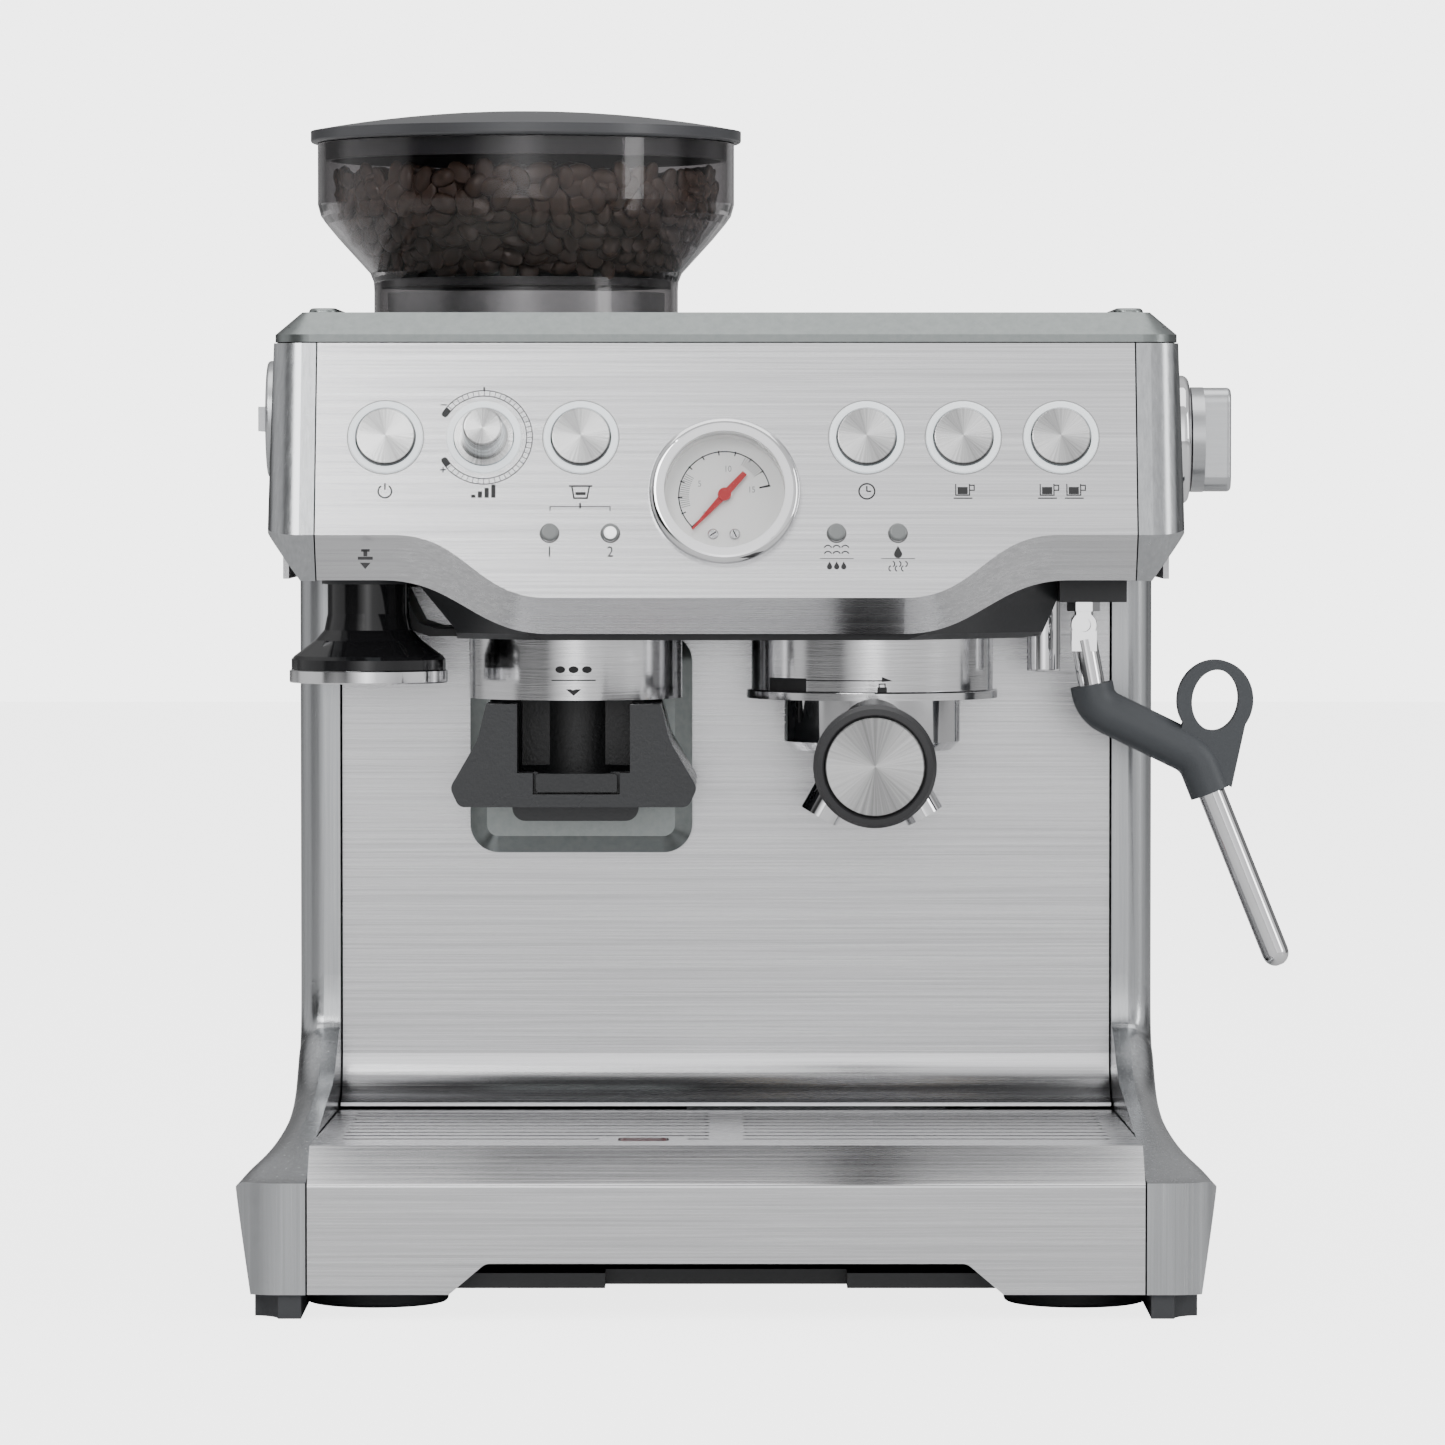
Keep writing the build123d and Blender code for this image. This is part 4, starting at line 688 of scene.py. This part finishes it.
pictogram("two_cup_mark", BUTTON_X["two_cup"], CUP_Z, cup_strips(-0.0034) + cup_strips(0.0034))
numeral("single_mark", "1", at_control(LAMP_X[0], 0.2512), 0.0052, ink)
numeral("double_mark", "2", at_control(LAMP_X[1], 0.2512), 0.0052, ink)

ripples = []
for row in range(2):
    for k in range(3):
        wave = arc_strip(0.0008, 0.0011, 20, 160, INK_LOW, steps=8)
        ripples.append(shifted(wave, -0.0022 + k * 0.0022, 0.0008 - row * 0.0016))
pictogram("clean_mark", LAMP_X[2], 0.2513, ripples)
pictogram("rinse_mark", LAMP_X[2], 0.2468, [drop(x, 0, 0.0011) for x in (-0.0018, 0, 0.0018)])
pictogram("water_mark", LAMP_X[3], 0.2512, [drop(0, 0, 0.0017)])
vapour = []
for k in range(3):
    for row in range(2):
        aim = 180 * row
        bow = arc_strip(0.0006, 0.0009, aim - 70, aim + 70, INK_LOW, steps=6)
        vapour.append(shifted(bow, -0.0016 + k * 0.0016, 0.0006 - row * 0.0012))
pictogram("steam_mark", LAMP_X[3], 0.2466, vapour)
tamp_shape = [bar(-0.0005, 0.0005, -0.0002, 0.0014), bar(-0.0011, 0.0011, 0.0010, 0.0017),
              bar(-0.0019, 0.0019, -0.0011, -0.0003)]
pictogram("tamper_mark", -0.1192, 0.2501, tamp_shape)

for k, x in enumerate(LAMP_X):
    seat = arc_strip(0.0028, 0.0033, 0, 360, INK_LOW)
    print_on_panel(f"lamp_seat_{k}", at_control(x, LAMP_Z), [seat], lamp_seat)
LIT_LAMP = at_control(LAMP_X[1], LAMP_Z)
lit_out = reach_out("led_lenses", LIT_LAMP, 0.004)
lit_profile = ((0.0022, -0.0004), (0.0021, 0.0000), (0.0016, 0.0003), (0.0008, 0.00045))
lit_verts, lit_faces = turned(LIT_LAMP, 0.0, 0.0, lit_out, lit_profile, 20)
mesh_piece("lit_lamp", lit_verts, lit_faces, lit_lens, "machine")
# painted shade: a thin grey line round each light ring stands in for the shade in the gap between
# ring and panel
for name, x in BUTTON_X.items():
    gap_shade = arc_strip(0.01255, 0.01285, 0, 360, INK_LOW, steps=72)
    print_on_panel(name + "_gap_shade", at_control(x, CONTROL_Z), [gap_shade], grey_ink_and_gap_shade)

KNOB = at_control(KNOB_X, CONTROL_Z)
ring_strips = [arc_strip(0.0160, 0.0163, -150, 150, INK_LOW),
               arc_strip(0.0141, 0.0144, -150, 150, INK_LOW),
               arc_strip(0.0144, 0.0160, 140, 152, INK_LOW),
               arc_strip(0.0144, 0.0160, -152, -140, INK_LOW)]
for k in range(41):
    at = -138 + k * 6.9
    ring_strips.append(arc_strip(0.0144, 0.0160, at - 0.4, at + 0.4, INK_LOW, steps=1))
ring_strips.append(arc_strip(0.0163, 0.0173, 89, 91, INK_LOW, steps=1))
for up in (0.0112, -0.0112):
    ring_strips.append(bar(-0.0144, -0.0124, up - 0.0002, up + 0.0002))
ring_strips.append(bar(-0.0136, -0.0132, -0.0122, -0.0102))
print_on_panel("grind_scale", KNOB, ring_strips, ink)

arrow = at_control(-0.1192, 0.2466)
arrow_head = patch([(0.0018, 0.0012), (-0.0018, 0.0012), (0, -0.0010)])
print_on_panel("tamp_mark", arrow, [arrow_head], ink)


# ---- marks on the two collars ------------------------------------------------
# The turning arrow of the portafilter and the push mark of the grinder are printed on the curve.

GROUP_COLLAR_R = 0.0413      # its box is wider, because the group collar has lugs


def wrap_on_collar(name, node, shapes, mat):
    """Bend flat shapes (x, z) round the front of a collar."""
    low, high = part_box(node)
    radius = (high[0] - low[0]) / 2 if node == "grinder_collar" else GROUP_COLLAR_R
    cx, cy = (low[0] + high[0]) / 2, (low[1] + high[1]) / 2
    verts, faces = [], []
    for points in shapes:
        base = len(verts)
        for lift in (INK_LOW, INK_LOW + INK_THICK):
            for x, z in points:
                a = x / radius
                r = radius + lift
                verts.append((cx + r * math.sin(a), cy - r * math.cos(a), z))
        n = len(points)
        faces.append(tuple(range(base + 2 * n - 1, base + n - 1, -1)))
        faces += [(base + k, base + (k + 1) % n, base + n + (k + 1) % n, base + n + k)
                  for k in range(n)]
    return mesh_piece(name, verts, faces, mat, "machine")


def curved_bar(x0, x1, z0, z1, steps=6):
    """A bar split into short lengths, so that it follows the collar."""
    edges = [x0 + (x1 - x0) * k / steps for k in range(steps + 1)]
    return [[(a, z0), (b, z0), (b, z1), (a, z1)] for a, b in zip(edges, edges[1:])]


lock_arrow = curved_bar(-0.0417, -0.0242, 0.2034, 0.2082, 10)
lock_arrow += curved_bar(-0.0242, 0.0040, 0.2074, 0.2078, 16)
lock_arrow.append([(0.0025, 0.2072), (0.0062, 0.2075), (0.0025, 0.2089)])
lock_arrow += curved_bar(0.0010, 0.0042, 0.2034, 0.2054, 3)
for x in (0.0014, 0.0034):
    lock_arrow += curved_bar(x, x + 0.0004, 0.2054, 0.2063, 1)
lock_arrow += curved_bar(0.0014, 0.0038, 0.2063, 0.2067, 2)
wrap_on_collar("lock_arrow", "group_collar", lock_arrow, ink)


def bean_outline(x, z):
    """The outline of a coffee bean."""
    return [(x + 0.0017 * math.cos(math.radians(a)), z + 0.0012 * math.sin(math.radians(a)))
            for a in range(0, 360, 30)]


grind_mark = [bean_outline(x, 0.2112) for x in (-0.0045, 0.0, 0.0045)]
grind_mark += curved_bar(-0.0075, 0.0075, 0.2074, 0.2078, 8)
grind_mark.append([(-0.0026, 0.2046), (0.0, 0.2024), (0.0026, 0.2046)])
wrap_on_collar("grind_mark", "grinder_collar", grind_mark, ink)


# ---- hopper and beans --------------------------------------------------------
# The hopper is blown in smoky clear plastic, and its lid is dark satin ABS. The beans are loose:
# each is an oval seed with one flat side and a crease along it.

smoky, smoky_shader = clear_plastic(
    "smoky_clear", (0.645, 0.625, 0.63), (0.675, 0.655, 0.66), 0.008, 0.024, 1.2)
smoky_shader.inputs["Coat Weight"].default_value = 0.35
finish_node("hopper_bowl", smoky)

lid_grey = moulded("lid_grey", (0.055, 0.056, 0.06), (0.07, 0.071, 0.076), 0.26, 0.36, 1100.0, 0.12)
finish_node("hopper_lid", lid_grey)

bean_mat = moulded("roasted_bean", (0.045, 0.026, 0.018), (0.13, 0.082, 0.058), 0.25, 0.45,
                   260.0, 0.5)

random.seed(11)
BEAN_STEPS, BEAN_RINGS = 10, 6


def bean_mesh(verts, faces, centre, size, turn):
    """Add one bean: long axis X, flat creased side at -Z."""
    base = len(verts)
    for i in range(BEAN_RINGS + 1):
        lat = math.pi * i / BEAN_RINGS
        for j in range(BEAN_STEPS):
            lon = 2 * math.pi * j / BEAN_STEPS
            x = math.cos(lat)
            y = math.sin(lat) * math.cos(lon) * 0.70
            z = math.sin(lat) * math.sin(lon) * 0.52
            if z < 0:
                z *= 0.45
                z += 0.16 * math.exp(-(y / 0.16) ** 2) * math.sin(lat)
            verts.append(centre + turn @ (Vector((x, y, z)) * size))
    faces += ring_faces(BEAN_RINGS + 1, BEAN_STEPS, base)


def bowl_radius(z):
    """Inner radius of the bowl at a height."""
    marks = ((0.345, 0.0509), (0.3604, 0.0634), (0.3655, 0.0676), (0.371, 0.0703),
             (0.392, 0.0706))
    for (z0, r0), (z1, r1) in zip(marks, marks[1:]):
        if z <= z1:
            return r0 + (r1 - r0) * max(0.0, z - z0) / (z1 - z0)
    return marks[-1][1]


hopper_low, hopper_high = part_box("hopper_bowl")
HOPPER = Vector(((hopper_low[0] + hopper_high[0]) / 2, (hopper_low[1] + hopper_high[1]) / 2, 0))
BEAN_SMALL, BEAN_LARGE = 0.0046, 0.0056      # half a bean's length
ROWS, ROW_LOW, ROW_RISE, BEAN_GAP = 8, 0.3488, 0.0043, 0.0075
bean_verts, bean_faces = [], []
for row in range(ROWS):
    z = ROW_LOW + row * ROW_RISE
    around = int(2 * math.pi * bowl_radius(z) / BEAN_GAP)
    for k in range(around):
        a = 2 * math.pi * (k + random.uniform(-0.3, 0.3) + 0.5 * (row % 2)) / around
        size = random.uniform(BEAN_SMALL, BEAN_LARGE)
        r = bowl_radius(z) - size - 0.0006
        up = z + random.uniform(-0.0012, 0.0012)
        at = HOPPER + Vector((r * math.cos(a), r * math.sin(a), up))
        face_out = Matrix.Rotation(a, 3, "Z") @ Matrix.Rotation(math.radians(90), 3, "Y")
        spin = Matrix.Rotation(random.uniform(0, math.pi), 3, "Z")
        flip = Matrix.Rotation(random.choice((0, math.pi)), 3, "X")
        tilt = Matrix.Rotation(random.uniform(-0.35, 0.35), 3, "Y")
        bean_mesh(bean_verts, bean_faces, at, size, face_out @ tilt @ spin @ flip)
TOP_BEANS, TOP_R, TOP_Z = 330, 0.064, 0.3790
for k in range(TOP_BEANS):
    r = math.sqrt(random.random()) * TOP_R
    a = random.uniform(0, 2 * math.pi)
    size = random.uniform(BEAN_SMALL, BEAN_LARGE)
    heap = 0.0020 * math.sin(3.0 * a + 8.0 * r / TOP_R) - 0.0010
    z = TOP_Z + heap + random.uniform(-0.0022, 0.0018)
    at = HOPPER + Vector((r * math.cos(a), r * math.sin(a), z))
    turn = Matrix.Rotation(random.uniform(0, 2 * math.pi), 3, "Z") @ \
        Matrix.Rotation(random.uniform(-0.6, 0.6), 3, "Y") @ \
        Matrix.Rotation(random.uniform(0, 6.28), 3, "X")
    bean_mesh(bean_verts, bean_faces, at, size, turn)
beans = mesh_piece("loose_beans", bean_verts, bean_faces, bean_mat, "hopper", smooth=True)

HEAP_SIDES = 48
heap_verts = []
levels = ((0.3455, 0.0), (0.3455, 0.0455), (0.3604, 0.0575), (0.368, 0.0625), (0.3765, 0.0640),
          (0.3775, 0.0))
for z, r in levels:
    for j in range(HEAP_SIDES):
        a = 2 * math.pi * j / HEAP_SIDES
        heap_verts.append(HOPPER + Vector((r * math.cos(a), r * math.sin(a), z)))
heap_faces = ring_faces(len(levels), HEAP_SIDES)
mesh_piece("bean_heap", heap_verts, heap_faces, bean_mat, "hopper", smooth=True)
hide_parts("coffee_beans")


# ---- tamper, grips and grinder switch ----------------------------------------
# The tamper and the switch plate are high gloss black. The handle is satin black, and the wand's
# grip is soft grey rubber moulded over the tube.

gloss_black = moulded("gloss_black", (0.008, 0.008, 0.009), (0.012, 0.012, 0.013), 0.05, 0.12,
                      strength=0.0)
finish_node("tamper_body", gloss_black)
switch_black = moulded("switch_black", (0.012, 0.013, 0.014), (0.02, 0.021, 0.023), 0.16, 0.26,
                       strength=0.1)
finish_node("grind_switch", switch_black)
handle_black = moulded("handle_black", (0.018, 0.018, 0.019), (0.028, 0.028, 0.03), 0.32, 0.45,
                       strength=0.2)
finish_node("portafilter_grip", handle_black)
wand_rubber = moulded("wand_rubber", (0.045, 0.050, 0.056), (0.062, 0.068, 0.075), 0.42, 0.55,
                      1300.0)
finish_node("wand_grip", wand_rubber)


# ---- works, tank and boards --------------------------------------------------
# Behind the panels: a clear tank, a plain steel motor, gears and burrs, a brass brew head, the
# boiler and pump with their pipes, and green circuit boards.

tank_clear = clear_plastic("tank_clear", (0.78, 0.82, 0.84), (0.82, 0.86, 0.88), 0.03, 0.05, 1.2)[0]
finish_node("water_tank", tank_clear)

plain_steel = brushed("plain_steel", (0.36, 0.37, 0.38), (0.46, 0.47, 0.48), 0.3, 0.45,
                      (300.0, 300.0, 60.0))
for node in ("grinder_motor", "lower_burr", "drive_gear", "motor_pinion", "boiler_and_pump"):
    finish_node(node, plain_steel)
housing_grey = brushed("housing_grey", (0.42, 0.43, 0.44), (0.5, 0.51, 0.52), 0.4, 0.5,
                       (200.0, 200.0, 200.0))
finish_node("grinder_housing", housing_grey)
brass = brushed("brass", (0.62, 0.46, 0.22), (0.72, 0.55, 0.28), 0.2, 0.35, (60.0, 60.0, 900.0))
finish_node("group_head", brass)
board_green = moulded("board_green", (0.02, 0.10, 0.05), (0.03, 0.15, 0.08), 0.35, 0.5)
finish_node("circuit_boards", board_green)


# ---- floor, light and camera -------------------------------------------------
# A plain pale floor, three large soft lights, and a surround that is bright and dark by turns
# round the horizon, so that the polished metal has something to mirror.

floor_mat, floor_shader = principled("pale_floor")
floor_shader.inputs["Base Color"].default_value = (0.60, 0.60, 0.60, 1)
floor_shader.inputs["Roughness"].default_value = 0.6
floor_shader.inputs["Emission Color"].default_value = (1.0, 1.0, 1.0, 1)
seen = floor_mat.node_tree.nodes.new("ShaderNodeLightPath")
glow = floor_mat.node_tree.nodes.new("ShaderNodeMath")
glow.operation = "MULTIPLY"
glow.inputs[1].default_value = 3.3
floor_mat.node_tree.links.new(seen.outputs["Is Camera Ray"], glow.inputs[0])
floor_mat.node_tree.links.new(glow.outputs[0], floor_shader.inputs["Emission Strength"])
mesh = bpy.data.meshes.new("floor")
mesh.from_pydata([(-6, -6, 0), (6, -6, 0), (6, 6, 0), (-6, 6, 0)], [], [(0, 1, 2, 3)])
floor = bpy.data.objects.new("floor", mesh)
bpy.context.scene.collection.objects.link(floor)
mesh.materials.append(floor_mat)

world = bpy.data.worlds.new("surround")
bpy.context.scene.world = world
world.use_nodes = True
wn, wl = world.node_tree.nodes, world.node_tree.links.new
back = wn["Background"]
coord = wn.new("ShaderNodeTexCoord")
round_about = wn.new("ShaderNodeTexGradient")
round_about.gradient_type = "RADIAL"
cards = wn.new("ShaderNodeValToRGB")
# brightness round the horizon, in parts of a full turn
stops = ((0.0, 1.3), (0.055, 1.2), (0.072, 0.05), (0.165, 0.05), (0.210, 2.0), (0.25, 4.4),
         (0.29, 2.0), (0.34, 1.7), (0.50, 1.5), (0.53, 0.16), (0.60, 0.5), (0.66, 0.12),
         (0.72, 0.7), (0.85, 0.12), (0.90, 0.3), (0.93, 1.2), (1.0, 1.3))
for k, (where, level) in enumerate(stops):
    stop = cards.color_ramp.elements[k] if k < 2 else cards.color_ramp.elements.new(where)
    stop.position = where
    stop.color = (level, level, level * 1.01, 1)
split = wn.new("ShaderNodeSeparateXYZ")
above = wn.new("ShaderNodeMapRange")
above.inputs["From Min"].default_value = 0.30
above.inputs["From Max"].default_value = 0.75
overhead = wn.new("ShaderNodeMix")
overhead.data_type = "RGBA"
overhead.inputs[7].default_value = (1.25, 1.25, 1.26, 1)
path = wn.new("ShaderNodeLightPath")
choose = wn.new("ShaderNodeMix")
choose.data_type = "RGBA"
choose.inputs[7].default_value = (7.0, 7.0, 7.0, 1)
wl(coord.outputs["Generated"], round_about.inputs["Vector"])
wl(coord.outputs["Generated"], split.inputs[0])
wl(round_about.outputs["Fac"], cards.inputs[0])
wl(split.outputs["Z"], above.inputs["Value"])
wl(above.outputs[0], overhead.inputs[0])
wl(cards.outputs[0], overhead.inputs[6])
wl(path.outputs["Is Camera Ray"], choose.inputs[0])
wl(overhead.outputs[2], choose.inputs[6])
wl(choose.outputs[2], back.inputs["Color"])
back.inputs["Strength"].default_value = 0.60


def soft_light(name, place, aim, size, power):
    """A large rectangular soft light pointed at a place."""
    lamp = bpy.data.lights.new(name, "AREA")
    lamp.shape = "RECTANGLE"
    lamp.size, lamp.size_y = size
    lamp.energy = power
    obj = bpy.data.objects.new(name, lamp)
    obj.location = place
    obj.rotation_euler = (Vector(aim) - Vector(place)).to_track_quat("-Z", "Y").to_euler()
    bpy.context.scene.collection.objects.link(obj)


soft_light("key_light", (-0.75, -1.9, 1.45), (0, 0, 0.25), (0.8, 0.8), 15)
soft_light("side_light", (1.9, -1.0, 1.0), (0, 0, 0.2), (0.5, 1.4), 10)
soft_light("top_light", (0.0, -0.2, 2.0), (0, 0, 0.2), (2.0, 1.4), 16)

camera_data = bpy.data.cameras.new("camera")
camera_data.sensor_width = 36.0
camera_data.lens = 179.2
camera = bpy.data.objects.new("camera", camera_data)
camera.location = (-0.0012, -2.510, 0.280)
camera.rotation_euler = (math.radians(90 - 2.05), 0, 0)
bpy.context.scene.collection.objects.link(camera)
bpy.context.scene.camera = camera
